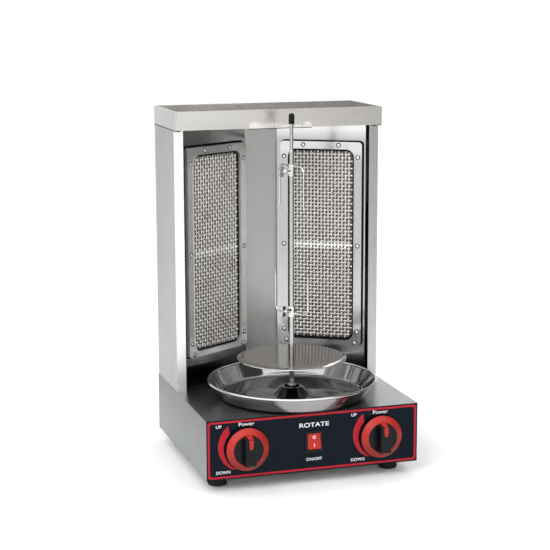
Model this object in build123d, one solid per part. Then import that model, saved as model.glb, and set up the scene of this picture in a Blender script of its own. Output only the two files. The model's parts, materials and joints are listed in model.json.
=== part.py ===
from build123d import *
from math import cos, pi, radians, sin
import os

# Vertical rotisserie broiler: a gas kebab machine with two upright ceramic burners.
# Millimetres. +X is the operator's right, +Y points to the back, +Z is up.
# The origin is on the surface that the feet stand on, below the middle of the machine.

# ---- driving dimensions -------------------------------------------------------------
SHEET = 1.2                 # stainless sheet of the casing
FIT = 0.05                  # radial clearance of a running shaft
GAP = 0.3                   # clearance between pieces that move apart

BASE_WIDTH = 300.0
BASE_DEPTH = 272.0
FOOT_HEIGHT = 19.0
BASE_TOP = 101.3
TRAY_BOTTOM = 470.6
TRAY_TOP = 496.3
TRAY_FRONT = 8.0
CABINET_BACK = 134.0
REAR_REACH = 161.0          # how far the gas inlet stands out behind the middle

POST_FRONT = 21.0           # front faces of the side panels
POST_INNER = 136.4          # inner edges of their front flanges

WING_ANGLE = 31.6           # plan angle of the burners and reflectors
WING_OUTER_X = 136.1
CENTRE_FACE = 103.0         # front face of the flat centre panel
CENTRE_HALF = 24.2
CENTRE_THICK = 0.8

BURNER_X = 77.15            # middle of a burner frame's front face
BURNER_Y = 60.55
BURNER_Z = 293.35           # middle height of the window
FRAME_Z = 295.0             # middle height of the frame
FRAME_SIZE = (120.0, 298.0)
WINDOW_SIZE = (97.4, 280.0)
WING_DEPTH = 8.7            # frame front face to reflector front face

SPIT_Y = -40.0
ROD_R = 3.2
NECK_R = 2.3
NECK_START = 443.0
COUPLING_TOP = 116.4
DISC_R = 76.5
DISC_TOP = 157.5
FORK_REACH = 30.0           # prong distance from the spit axis
PRONG_R = 1.2

PAN_RIM_R = 118.6
PAN_RIM_Z = 126.0
PAN_FLOOR_R = 101.0         # where the floor's and the wall's lines would meet

KNOB_X = 95.0
KNOB_Z = 60.0
KNOB_REACH = 25.0           # knob front to panel

GEAR_MODULE = 0.8
GEAR_TEETH = 56
PINION_TEETH = 14

BASE_FRONT = -BASE_DEPTH / 2
BASE_BACK = BASE_DEPTH / 2
HALF_WIDTH = BASE_WIDTH / 2
SIDES = {"left": -1, "right": 1}


# ---- small helpers ------------------------------------------------------------------
def block(x0, x1, y0, y1, z0, z1):
    """A box between two corners."""
    middle = Pos((x0 + x1) / 2, (y0 + y1) / 2, (z0 + z1) / 2)
    return middle * Box(abs(x1 - x0), abs(y1 - y0), abs(z1 - z0))


def post(radius, z0, z1, x=0.0, y=0.0):
    """An upright cylinder."""
    return Pos(x, y, (z0 + z1) / 2) * Cylinder(radius, z1 - z0)


def bar_y(radius, y0, y1, x=0.0, z=0.0):
    """A cylinder lying front to back."""
    return Pos(x, (y0 + y1) / 2, z) * Rot(90, 0, 0) * Cylinder(radius, abs(y1 - y0))


def bar_x(radius, x0, x1, y=0.0, z=0.0):
    """A cylinder lying left to right."""
    return Pos((x0 + x1) / 2, y, z) * Rot(0, 90, 0) * Cylinder(radius, abs(x1 - x0))


def rounded_slab(width, height, radius, y0, y1, z=0.0):
    """An upright plate with rounded corners, between two depths."""
    outline = RectangleRounded(width, height, radius)
    return Pos(0, y1, z) * Rot(90, 0, 0) * extrude(outline, amount=y1 - y0)


def turned(points):
    """A solid of revolution about Z from (radius, height) points."""
    profile = make_face(Polyline([(r, 0, z) for r, z in points], close=True))
    return revolve(profile, axis=Axis.Z)


def tube_along(points, radius, bend):
    """A round wire or pipe along straight runs joined by equal bends."""
    path = FilletPolyline(*points, radius=bend)
    section = Plane(origin=path @ 0, z_dir=path % 0) * Circle(radius)
    return sweep(section, path=path)


def polar(reach, angle, z, y=SPIT_Y):
    """A point at a distance and plan angle from the spit axis."""
    return (reach * cos(radians(angle)), y + reach * sin(radians(angle)), z)


def burner_frame_at(side):
    """The burner's own frame: +X outward for the right burner, +Y behind its front face."""
    return Pos(side * BURNER_X, BURNER_Y, 0) * Rot(0, 0, -side * WING_ANGLE)


# ---- base ---------------------------------------------------------------------------
PANEL_THICK = 1.2
LABEL_THICK = 0.4
PLATE_FRONT = BASE_FRONT + LABEL_THICK
PLATE_BACK = PLATE_FRONT + PANEL_THICK
FOOT_X = 124.0
FOOT_Y = 93.0
FOOT_R = 13.0
PIPE_R = 3.0
PIPE_LOCAL = (58.0, 29.5)   # gas pipe in the burner's own frame
STEM_HOLE_R = 8.0
SWITCH_Z = 60.5
SWITCH_HOLE = (22.4, 28.0)
BUSH_R = 7.0
INLET_X = 112.0
INLET_Z = 38.0
INLET_HOLE_R = 7.0
GLAND_X = -95.0
GLAND_Z = 45.0
GLAND_HOLE_R = 8.0
MOTOR_SCREWS = [(x, y) for x in (-47.0, 47.0) for y in (-66.0, -14.0)]
SCREW_R = 2.0


def pipe_place(side):
    """Where a burner's gas pipe passes up through the base."""
    spot = burner_frame_at(side) * Pos(side * PIPE_LOCAL[0], PIPE_LOCAL[1], 0)
    return spot.position.X, spot.position.Y


def base_shell():
    """Top, sides and back folded from one sheet, open at the front and below."""
    shell = block(-HALF_WIDTH, HALF_WIDTH, PLATE_BACK, BASE_BACK, FOOT_HEIGHT, BASE_TOP)
    inner = HALF_WIDTH - SHEET
    shell -= block(-inner, inner, PLATE_BACK, BASE_BACK - SHEET, FOOT_HEIGHT, BASE_TOP - SHEET)
    shell += block(-HALF_WIDTH, HALF_WIDTH, PLATE_FRONT, PLATE_BACK, BASE_TOP - SHEET, BASE_TOP)
    shell -= post(BUSH_R, BASE_TOP - SHEET, BASE_TOP, 0, SPIT_Y)
    for x, y in MOTOR_SCREWS:
        shell -= post(SCREW_R, BASE_TOP - SHEET, BASE_TOP, x, y)
    for side in SIDES.values():
        x, y = pipe_place(side)
        shell -= post(PIPE_R + 1.0, BASE_TOP - SHEET, BASE_TOP, x, y)
    shell -= bar_y(INLET_HOLE_R, BASE_BACK - SHEET, BASE_BACK, INLET_X, INLET_Z)
    shell -= bar_y(GLAND_HOLE_R, BASE_BACK - SHEET, BASE_BACK, GLAND_X, GLAND_Z)
    return shell


def front_holes(y0, y1):
    """Openings for the two valve stems and the switch."""
    cut = block(-SWITCH_HOLE[0] / 2, SWITCH_HOLE[0] / 2, y0, y1,
                SWITCH_Z - SWITCH_HOLE[1] / 2, SWITCH_Z + SWITCH_HOLE[1] / 2)
    for side in SIDES.values():
        cut += bar_y(STEM_HOLE_R, y0, y1, side * KNOB_X, KNOB_Z)
    return cut


def base_front_plate():
    top = BASE_TOP - SHEET
    plate = block(-HALF_WIDTH, HALF_WIDTH, PLATE_FRONT, PLATE_BACK, FOOT_HEIGHT, top)
    return plate - front_holes(PLATE_FRONT, PLATE_BACK)


def control_panel_label():
    label = block(-HALF_WIDTH, HALF_WIDTH, BASE_FRONT, PLATE_FRONT, FOOT_HEIGHT, BASE_TOP)
    return label - front_holes(BASE_FRONT, PLATE_FRONT)


def foot_places():
    return [(x, y) for x in (-FOOT_X, FOOT_X) for y in (-FOOT_Y, FOOT_Y)]


def base_bottom_plate():
    """Bottom cover with rows of ventilation slots."""
    inner = HALF_WIDTH - SHEET
    top = FOOT_HEIGHT + SHEET
    plate = block(-inner, inner, PLATE_BACK, BASE_BACK - SHEET, FOOT_HEIGHT, top)
    slot_half, slot_pitch, slot_count = 30.0, 10.0, 8
    for row_y in (-60.0, 45.0):
        for i in range(slot_count):
            x = (i - (slot_count - 1) / 2) * slot_pitch
            plate -= block(x - 2, x + 2, row_y - slot_half, row_y + slot_half, FOOT_HEIGHT, top)
    for x, y in foot_places():
        plate -= post(SCREW_R, FOOT_HEIGHT, top, x, y)
    return plate


def rubber_feet():
    """Four tapered round feet, each with a screw well in its sole."""
    well_r, well_depth, taper = 6.0, 8.0, 1.0
    feet = []
    for x, y in foot_places():
        foot = Pos(x, y, 0) * turned([
            (well_r, 0), (FOOT_R - taper, 0), (FOOT_R, 2.0), (FOOT_R, FOOT_HEIGHT),
            (SCREW_R, FOOT_HEIGHT), (SCREW_R, well_depth), (well_r, well_depth)])
        feet.append(foot)
    return feet


def pan_head_screw(head_r, head_h, shank_r, length):
    """A screw with its head's underside at the origin and its shank down along -Z."""
    edge = head_h * 0.45
    return turned([(0, head_h), (head_r * 0.55, head_h), (head_r, edge), (head_r, 0),
                   (shank_r, 0), (shank_r, -length), (0, -length)])


def foot_screws():
    """Screws up through the feet, each with its nut inside the base."""
    well_depth, reach, nut_h = 8.0, 17.0, 3.2
    pieces = []
    for x, y in foot_places():
        screw = Rot(180, 0, 0) * pan_head_screw(4.0, 2.6, SCREW_R, reach)
        pieces.append(Pos(x, y, well_depth) * screw)
        nut = extrude(RegularPolygon(4.0, 6) - Circle(SCREW_R), amount=nut_h)
        pieces.append(Pos(x, y, FOOT_HEIGHT + SHEET) * nut)
    return pieces


# ---- rocker switch ------------------------------------------------------------------
BEZEL_SIZE = (25.6, 31.0)
BEZEL_THICK = 2.0
ROCKER_SIZE = (18.4, 21.6)
ROCKER_HOLE = (19.2, 23.2)
ROCKER_PIN_R = 1.2
ROCKER_TILT = 8.0           # rest tilt; the other position is the same amount the other way
ROCKER_PIVOT_Y = BASE_FRONT + 3.0
SWITCH_DEPTH = 22.0


def switch_bezel():
    """Snap-in switch body with its flange on the panel and three blade terminals."""
    front = BASE_FRONT - BEZEL_THICK
    back = BASE_FRONT + SWITCH_DEPTH
    flange = rounded_slab(*BEZEL_SIZE, 2.0, front, BASE_FRONT)
    flange = chamfer(flange.faces().sort_by(Axis.Y)[0].edges(), 0.8)
    body = rounded_slab(SWITCH_HOLE[0] - 0.2, SWITCH_HOLE[1] - 0.2, 1.0, BASE_FRONT, back)
    hole_x, hole_z, floor_thick = ROCKER_HOLE[0] / 2, ROCKER_HOLE[1] / 2, 6.0
    blade_half, blade_thick, blade_length, blade_pitch = 3.2, 0.8, 8.0, 9.0
    cavity = block(-hole_x, hole_x, front, back - floor_thick, -hole_z, hole_z)
    pins = bar_x(ROCKER_PIN_R + FIT, -hole_x - 1.0, hole_x + 1.0, ROCKER_PIVOT_Y, 0)
    switch = flange + body - cavity - pins
    for z in (-blade_pitch, 0.0, blade_pitch):
        switch += block(-blade_half, blade_half, back, back + blade_length,
                        z - blade_thick / 2, z + blade_thick / 2)
    return Pos(0, 0, SWITCH_Z) * switch


def rocker_button():
    """Rocker with two faces that meet at a shallow valley, tilted to its off position."""
    half_w = ROCKER_SIZE[0] / 2
    half_h = ROCKER_SIZE[1] / 2
    rim, valley, root = 5.6, 4.2, 3.0
    outline = [(0, -rim, -half_h), (0, -valley, 0), (0, -rim, half_h), (0, root - 1.5, half_h - 1.0),
               (0, root, 4.0), (0, root, -4.0), (0, root - 1.5, 1.0 - half_h)]
    face = make_face(Polyline(outline, close=True))
    rocker = Pos(-half_w, 0, 0) * extrude(face, amount=2 * half_w, dir=(1, 0, 0))
    rocker += bar_x(ROCKER_PIN_R, -half_w - 1.0, half_w + 1.0)
    return Pos(0, ROCKER_PIVOT_Y, SWITCH_Z) * Rot(-ROCKER_TILT, 0, 0) * rocker


# ---- knobs and gas train ------------------------------------------------------------
STEM_R = 3.0
COLLAR_STEM_R = 4.5         # collar that keeps the stem in its valve
OUTLET_LENGTH = 8.0
VALVE_FRONT = PLATE_BACK
VALVE_BACK = -92.0
VALVE_R = 9.0
MANIFOLD_Y = -100.0
MANIFOLD_Z = 38.0
MANIFOLD_R = 6.0
PIPE_BEND = 12.0
PIPE_TOP = BURNER_Z - 5.0
SKIRT_START = 5.5           # skirt back edge to panel
SKIRT_R = 29.3
CENTRE_R = 20.6
CENTRE_HEIGHT = 12.6


def knob_place(side):
    """The knob's own frame: +Z out of the panel, +Y up."""
    return Pos(side * KNOB_X, BASE_FRONT, KNOB_Z) * Rot(90, 0, 0)


def skirt_profile():
    """Conical skirt ring, hollow behind."""
    return turned([(SKIRT_R - 0.4, SKIRT_START), (SKIRT_R, SKIRT_START + 0.4), (SKIRT_R, SKIRT_START + 1.6),
                   (CENTRE_R + 1.0, CENTRE_HEIGHT), (CENTRE_R, CENTRE_HEIGHT),
                   (CENTRE_R, SKIRT_START + 3.0), (SKIRT_R - 2.2, SKIRT_START)])


def knob_skirt(side):
    return knob_place(side) * skirt_profile()


def knob_grip(side):
    """Black centre with a tall rounded grip bar and a hub that takes the valve stem."""
    root_width, length, taper, edge_r, hub_r = 18.0, 2 * CENTRE_R - 0.8, 8.0, 1.4, 6.5
    back = SKIRT_START + 3.0
    centre = post(CENTRE_R, back, CENTRE_HEIGHT)
    rise = KNOB_REACH - CENTRE_HEIGHT
    bar = Pos(0, 0, CENTRE_HEIGHT) * extrude(Rectangle(root_width, length), amount=rise, taper=taper)
    bar = bar & post(CENTRE_R, 0, KNOB_REACH)
    bar = fillet(bar.edges().group_by(Axis.Z)[-1], edge_r)
    hub = post(hub_r, SKIRT_START, back)
    grip = centre + bar + hub - post(STEM_R + FIT, 0, CENTRE_HEIGHT + 4.0)
    return knob_place(side) * grip


def valve_stem(side):
    """The stem runs from inside the valve into the knob's hub."""
    stem_tip = CENTRE_HEIGHT + 3.6
    stem_root, collar_z, collar_thick = -24.0, -14.0, 2.0
    stem = post(STEM_R, stem_root, stem_tip)
    stem += post(COLLAR_STEM_R, collar_z - collar_thick, collar_z)
    return knob_place(side) * stem


def gas_valves():
    """Two brass valves that sit on the manifold, each with an outlet to the back."""
    saddle, outlet_r = 8.0, 4.0
    bore_depth, chamber_r, chamber_start, chamber_end = 30.0, COLLAR_STEM_R + 0.4, 8.0, 21.0
    valves = []
    for side in SIDES.values():
        x = side * KNOB_X
        valve = bar_y(VALVE_R, VALVE_FRONT, VALVE_BACK, x, KNOB_Z)
        valve += block(x - saddle, x + saddle, MANIFOLD_Y - saddle, MANIFOLD_Y + saddle,
                       MANIFOLD_Z - 2, KNOB_Z)
        valve -= bar_x(MANIFOLD_R, x - saddle - 1, x + saddle + 1, MANIFOLD_Y, MANIFOLD_Z)
        valve += bar_y(outlet_r, VALVE_BACK, VALVE_BACK + OUTLET_LENGTH, x, KNOB_Z)
        valve -= bar_y(STEM_R + FIT, VALVE_FRONT, BASE_FRONT + bore_depth, x, KNOB_Z)
        valve -= bar_y(chamber_r, BASE_FRONT + chamber_start, BASE_FRONT + chamber_end, x, KNOB_Z)
        valves.append(valve)
    return valves


def gas_manifold():
    """Cross tube that feeds both valves, with a branch back to the inlet."""
    cross_half, branch_r, branch_x = KNOB_X + 17.0, 4.0, INLET_X - 4.0
    cross = bar_x(MANIFOLD_R, -cross_half, cross_half, MANIFOLD_Y, MANIFOLD_Z)
    branch = bar_y(branch_r, MANIFOLD_Y, BASE_BACK - FITTING_INSIDE, branch_x, MANIFOLD_Z)
    return cross + branch


INLET_THREAD_R = 6.58
INLET_THREAD_LENGTH = 14.0
INLET_BORE_R = 3.5
FITTING_INSIDE = 12.0       # how far the inlet fitting reaches into the base


def gas_inlet_fitting():
    """Bulkhead fitting: inner nut, outer nut, hexagon and a male nipple."""
    def hexagon(radius, y0, y1):
        body = extrude(RegularPolygon(radius, 6), amount=y1 - y0)
        return Pos(INLET_X, y1, INLET_Z) * Rot(90, 0, 0) * body
    hex_end = REAR_REACH - INLET_THREAD_LENGTH
    nut_r, nut_h, body_r, bore_start = 10.5, 4.0, 9.8, BASE_BACK - 8.0
    inside = BASE_BACK - SHEET
    fitting = bar_y(INLET_HOLE_R, BASE_BACK - FITTING_INSIDE, BASE_BACK, INLET_X, INLET_Z)
    fitting += hexagon(nut_r, inside - nut_h, inside)
    fitting += hexagon(nut_r, BASE_BACK, BASE_BACK + nut_h)
    fitting += hexagon(body_r, BASE_BACK + nut_h, hex_end)
    fitting += bar_y(INLET_THREAD_R, hex_end, REAR_REACH, INLET_X, INLET_Z)
    return fitting - bar_y(INLET_BORE_R, bore_start, REAR_REACH, INLET_X, INLET_Z)


def gas_pipe(side):
    """From the valve outlet back through the base, then up behind the post to the burner."""
    x, y = pipe_place(side)
    start = (side * KNOB_X, VALVE_BACK + OUTLET_LENGTH, KNOB_Z)
    route = [start, (side * KNOB_X, y, KNOB_Z), (x, y, KNOB_Z), (x, y, PIPE_TOP)]
    return tube_along(route, PIPE_R, PIPE_BEND)


def gas_injectors():
    """Brass elbows that join each gas pipe to the side of its burner body."""
    stub_r, hex_r, socket_r, socket_low, socket_high = 4.0, 5.0, 3.6, -9.0, -1.0
    outer, inner, hex_start = PIPE_LOCAL[0] + 4.6, BODY_HALF - 5.0, BODY_HALF + 1.0
    pieces = []
    for side in SIDES.values():
        at = burner_frame_at(side)
        elbow = bar_x(stub_r, inner, outer)
        hexagon = Rot(0, 90, 0) * extrude(RegularPolygon(hex_r, 6), amount=outer - hex_start)
        elbow += Pos(hex_start, 0, 0) * hexagon
        elbow += post(socket_r, socket_low, socket_high, PIPE_LOCAL[0])
        elbow -= post(PIPE_R, socket_low, PIPE_TOP - BURNER_Z, PIPE_LOCAL[0])
        if side < 0:
            elbow = Rot(0, 0, 180) * elbow
        pieces.append(at * Pos(0, PIPE_LOCAL[1], BURNER_Z) * elbow)
    return pieces


def cable_gland():
    """Gland in the back wall: nut inside, hexagon and domed clamp outside, bored for the cord."""
    inside, nut_h, nut_r, hex_h, dome_r, dome_h, bore_r = 10.0, 5.0, 11.0, 6.0, 9.5, 9.0, 3.6
    thread = bar_y(GLAND_HOLE_R, BASE_BACK - inside, BASE_BACK, GLAND_X, GLAND_Z)
    nut = bar_y(nut_r, BASE_BACK - SHEET - nut_h, BASE_BACK - SHEET, GLAND_X, GLAND_Z)
    body = extrude(RegularPolygon(nut_r, 6), amount=hex_h)
    hexagon = Pos(GLAND_X, BASE_BACK + hex_h, GLAND_Z) * Rot(90, 0, 0) * body
    dome = turned([(0, 0), (dome_r, 0), (dome_r, dome_h - 4.0), (dome_r - 2.5, dome_h), (0, dome_h)])
    clamp = Pos(GLAND_X, BASE_BACK + hex_h, GLAND_Z) * Rot(-90, 0, 0) * dome
    gland = thread + nut + hexagon + clamp
    return gland - bar_y(bore_r, BASE_BACK - inside, BASE_BACK + hex_h + dome_h, GLAND_X, GLAND_Z)


def terminal_block():
    """Ceramic three-way terminal block on the bottom plate."""
    x, y, z = -60.0, 95.0, FOOT_HEIGHT + SHEET
    half_length, half_depth, height, pitch, way_half, screw_r = 20.0, 9.0, 15.0, 12.0, 4.0, 2.0
    way_low, way_high = z + height / 3, z + 2 * height / 3
    strip = block(x - half_length, x + half_length, y - half_depth, y + half_depth, z, z + height)
    for i in (-1, 0, 1):
        at = x + pitch * i
        strip -= block(at - way_half, at + way_half, y - half_depth, y + half_depth, way_low, way_high)
        strip -= post(screw_r, way_high, z + height, at, y)
    return strip


# ---- drive --------------------------------------------------------------------------
SHAFT_R = 4.0
SPIGOT_R = 3.0
SPIGOT_TOP = 106.5
SHOULDER_Z = BASE_TOP + 2.2
CASE_FLOOR = 65.0
CASE_TOP = 84.0
GEAR_BOTTOM = 70.0
GEAR_TOP = 76.0
GEAR_SPACING = GEAR_MODULE * (GEAR_TEETH + PINION_TEETH) / 2
PINION_Y = SPIT_Y + GEAR_SPACING
MOTOR_R = 25.0
MOTOR_SHAFT_R = 2.0
MOTOR_SHAFT_DEPTH = 10.0    # shaft length inside the motor
CASE_WALL = 2.5
MOTOR_BOTTOM = 28.0
BRACKET_Z = CASE_TOP + 2.0


def spur_gear(teeth, bore_r, z0, z1, phase):
    """A spur gear with straight-flanked teeth, thinned for running backlash."""
    pitch_r = GEAR_MODULE * teeth / 2
    root_r = pitch_r - 1.25 * GEAR_MODULE
    tip_r = pitch_r + 0.9 * GEAR_MODULE
    step = 2 * pi / teeth
    root_half, tip_half = 0.27 * step, 0.10 * step
    outline = []
    for i in range(teeth):
        middle = phase + step * i
        corners = ((root_r, -root_half), (tip_r, -tip_half), (tip_r, tip_half), (root_r, root_half))
        for radius, offset in corners:
            angle = middle + offset
            outline.append((radius * cos(angle), radius * sin(angle)))
    blank = make_face(Polyline(outline, close=True))
    gear = Pos(0, 0, z0) * extrude(blank - Circle(bore_r), amount=z1 - z0)
    return gear


def output_shaft():
    """Shaft with a thinner spigot that the coupling is pressed on."""
    shaft = post(SHAFT_R, CASE_FLOOR + 1.0 + GAP, SHOULDER_Z, 0, SPIT_Y)
    return shaft + post(SPIGOT_R, SHOULDER_Z, SPIGOT_TOP, 0, SPIT_Y)


def output_gear():
    """Large gear with a tooth space facing the pinion."""
    step = 2 * pi / GEAR_TEETH
    gear = spur_gear(GEAR_TEETH, SHAFT_R, GEAR_BOTTOM, GEAR_TOP, pi / 2 + step / 2)
    boss = post(8.0, GEAR_TOP, GEAR_TOP + 3.0) - post(SHAFT_R, GEAR_TOP, GEAR_TOP + 3.0)
    return Pos(0, SPIT_Y, 0) * (gear + boss)


def motor_pinion():
    """Motor shaft and its pinion, with a tooth facing the large gear."""
    overlap = 0.5
    gear = spur_gear(PINION_TEETH, MOTOR_SHAFT_R, GEAR_BOTTOM - overlap, GEAR_TOP + overlap, -pi / 2)
    shaft = post(MOTOR_SHAFT_R, CASE_FLOOR - MOTOR_SHAFT_DEPTH, GEAR_TOP + 2.0)
    return Pos(0, PINION_Y, 0) * (gear + shaft)


def case_outline(margin):
    """Plan outline of the gearbox: a rectangle round both gears."""
    reach = GEAR_MODULE * GEAR_TEETH / 2 + 2.5 + margin
    depth = PINION_Y + 9.0 - SPIT_Y + reach
    outline = RectangleRounded(2 * reach, depth + margin, 6.0)
    return Pos(0, SPIT_Y - reach + (depth + margin) / 2, 0) * outline


def gearbox_case():
    """Open-topped die-cast case with a blind bearing for the output shaft."""
    inside = CASE_FLOOR + 3.0
    case = Pos(0, 0, CASE_FLOOR) * extrude(case_outline(CASE_WALL), amount=CASE_TOP - CASE_FLOOR)
    case -= Pos(0, 0, inside) * extrude(case_outline(0.0), amount=CASE_TOP)
    case -= post(SHAFT_R + FIT, CASE_FLOOR + 1.0, inside, 0, SPIT_Y)
    return case - post(MOTOR_SHAFT_R + FIT, CASE_FLOOR, inside, 0, PINION_Y)


def gearbox_cover():
    cover = Pos(0, 0, CASE_TOP) * extrude(case_outline(CASE_WALL), amount=BRACKET_Z - CASE_TOP)
    return cover - post(SHAFT_R + FIT, CASE_TOP, BRACKET_Z, 0, SPIT_Y)


def gear_motor():
    """Round synchronous motor under the gearbox, with a rear bearing cap."""
    low, cap_r, cap_h, shoulder_z = MOTOR_BOTTOM, 9.0, 3.0, CASE_FLOOR - 6.0
    motor = turned([(0, low - cap_h), (cap_r, low - cap_h), (cap_r, low), (MOTOR_R - 1, low),
                    (MOTOR_R, low + 1), (MOTOR_R, shoulder_z), (MOTOR_R - 2, shoulder_z),
                    (MOTOR_R - 2, CASE_FLOOR), (0, CASE_FLOOR)])
    motor -= post(MOTOR_SHAFT_R + FIT, CASE_FLOOR - MOTOR_SHAFT_DEPTH - 1.0, CASE_FLOOR)
    return Pos(0, PINION_Y, 0) * motor


def motor_bracket():
    """Hat-shaped hanger: a plate on the gearbox cover, two legs and two flanges under the top."""
    y0, y1 = -76.0, -4.0
    leg_x, flange_x, thick = 40.0, 54.0, 1.5
    under_top = BASE_TOP - SHEET
    bracket = block(-leg_x, leg_x, y0, y1, BRACKET_Z, BRACKET_Z + thick)
    for side in SIDES.values():
        bracket += block(side * (leg_x - thick), side * leg_x, y0, y1, BRACKET_Z, under_top)
        bracket += block(side * leg_x, side * flange_x, y0, y1, under_top - thick, under_top)
    bracket -= post(SHAFT_R + 2.0, BRACKET_Z, BRACKET_Z + thick, 0, SPIT_Y)
    for x, y in MOTOR_SCREWS:
        bracket -= post(SCREW_R, under_top - thick, under_top, x, y)
    return bracket


def shaft_bush():
    """Flanged bush that guides the output shaft through the base top."""
    flange_r, edge, bore_r = 9.5, 0.6, SHAFT_R + FIT
    low, top = BASE_TOP - 4.0, BASE_TOP + 1.6
    bush = turned([(bore_r, low), (BUSH_R, low), (BUSH_R, BASE_TOP), (flange_r, BASE_TOP),
                   (flange_r, top - edge), (flange_r - edge, top), (bore_r, top)])
    return Pos(0, SPIT_Y, 0) * bush


DRIVE_PIN_R = 1.0
DRIVE_PIN_Z = 112.0
COUPLING_R = 6.0


def drive_coupling():
    """Chrome cup on the output shaft; a cross slot in its rim drives the spit's pin."""
    floor = SPIGOT_TOP
    cup = post(COUPLING_R, SHOULDER_Z, COUPLING_TOP)
    cup = chamfer(cup.edges().group_by(Axis.Z)[-1], 0.6)
    cup -= post(SPIGOT_R, SHOULDER_Z, floor)
    cup -= post(ROD_R + FIT, floor, COUPLING_TOP)
    slot_half = DRIVE_PIN_R + GAP
    cup -= block(-COUPLING_R, COUPLING_R, -slot_half, slot_half, DRIVE_PIN_Z - slot_half, COUPLING_TOP)
    return Pos(0, SPIT_Y, 0) * cup


# ---- spit ---------------------------------------------------------------------------
ROD_FOOT = SPIGOT_TOP + 0.4
CAP_BOTTOM = 480.0
CAP_TOP = 494.7
CAP_R = 4.0
COLLAR_R = 5.0


def spit_rod():
    shoulder = NECK_START + (ROD_R - NECK_R)
    rod = turned([(0, ROD_FOOT), (ROD_R - 0.5, ROD_FOOT), (ROD_R, ROD_FOOT + 0.5), (ROD_R, NECK_START),
                  (NECK_R, shoulder), (NECK_R, CAP_TOP - 4.0), (0, CAP_TOP - 4.0)])
    rod -= bar_x(DRIVE_PIN_R, -ROD_R, ROD_R, 0, DRIVE_PIN_Z)
    return Pos(0, SPIT_Y, 0) * rod


def spit_drive_pin():
    """Cross pin through the foot of the rod."""
    return bar_x(DRIVE_PIN_R, 0.3 - COUPLING_R, COUPLING_R - 0.3, SPIT_Y, DRIVE_PIN_Z)


def spit_cap():
    """Black domed cap over the end of the neck."""
    dome = CAP_R - 1.0
    cap = post(CAP_R, CAP_BOTTOM, CAP_TOP)
    cap = fillet(cap.edges().group_by(Axis.Z)[-1], dome)
    cap -= post(NECK_R, CAP_BOTTOM, CAP_TOP - 4.0)
    return Pos(0, SPIT_Y, 0) * cap


def meat_disc():
    """Thin polished disc whose rim slopes down a little, with a hub under it."""
    thick, rim_width, rim_drop, edge_h, hub_r, hub_low = 1.5, 7.0, 2.0, 1.4, 9.0, 146.0
    under = DISC_TOP - thick
    flat_r = DISC_R - rim_width
    edge = DISC_TOP - rim_drop
    profile = [(ROD_R, DISC_TOP), (flat_r, DISC_TOP), (DISC_R, edge), (DISC_R, edge - edge_h),
               (DISC_R - edge_h, edge - edge_h), (flat_r, under), (hub_r, under),
               (hub_r, hub_low), (ROD_R, hub_low)]
    return Pos(0, SPIT_Y, 0) * turned(profile)


def fork(collar_low, collar_high, bar_z, direction, tip_z, screw_angle, screw_z):
    """A collar with two wire prongs that leave it along one line and turn up or down."""
    bend, start = 9.0, COLLAR_R - 1.0
    point_length, point_r = 6.0, 0.35
    boss_r, boss_length, boss_at, bore_length = 3.6, 5.0, 6.0, 8.0
    piece = post(COLLAR_R, collar_low, collar_high, 0, SPIT_Y)
    for turn in (0.0, 180.0):
        angle = direction + turn
        corner = polar(FORK_REACH, angle, bar_z)
        route = [polar(start, angle, bar_z), corner, polar(FORK_REACH, angle, tip_z)]
        piece += tube_along(route, PRONG_R, bend)
        if tip_z > bar_z:
            point = Cone(PRONG_R, point_r, point_length)
            middle_z = tip_z + point_length / 2
        else:
            point = Cone(point_r, PRONG_R, point_length)
            middle_z = tip_z - point_length / 2
        piece += Pos(*polar(FORK_REACH, angle, middle_z)) * point
    outward = Pos(*polar(boss_at, screw_angle, screw_z)) * Rot(0, 0, screw_angle) * Rot(0, 90, 0)
    piece += outward * Cylinder(boss_r, boss_length)
    piece -= post(ROD_R + FIT, collar_low - 1, collar_high + 1, 0, SPIT_Y)
    return piece - outward * Cylinder(SCREW_R + FIT, bore_length)


def wing_screw(screw_angle, screw_z):
    """Wing screw whose tip bears on the rod through the collar."""
    tip, boss_low, boss_high, wing_middle = ROD_R + 0.3, 9.0, 13.4, 16.2
    boss_r, neck_r = 3.4, 2.6
    wing_width, wing_height, wing_thick, notch_r, notch_at = 15.0, 7.5, 1.4, 2.4, 4.6
    shank = post(SCREW_R, tip, boss_low + 2.3)
    boss = Pos(0, 0, (boss_low + boss_high) / 2) * Cone(boss_r, neck_r, boss_high - boss_low)
    wing = RectangleRounded(wing_width, wing_height, neck_r)
    wing -= Pos(0, notch_at, 0) * Circle(notch_r)
    plate = Pos(0, wing_thick / 2, wing_middle) * Rot(90, 0, 0) * extrude(wing, amount=wing_thick)
    plate = plate + boss + shank
    return Pos(0, SPIT_Y, screw_z) * Rot(0, 0, screw_angle) * Rot(0, 90, 0) * plate


UPPER = {"low": 409.0, "high": 425.0, "bar": 423.0, "direction": -75.0, "tip": 371.0,
         "screw": -165.0, "screw_z": 416.0}
LOWER = {"low": 213.0, "high": 228.0, "bar": 218.0, "direction": -60.0, "tip": 270.0,
         "screw": -150.0, "screw_z": 222.5}


def fork_from(place):
    return fork(place["low"], place["high"], place["bar"], place["direction"], place["tip"],
                place["screw"], place["screw_z"])


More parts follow.
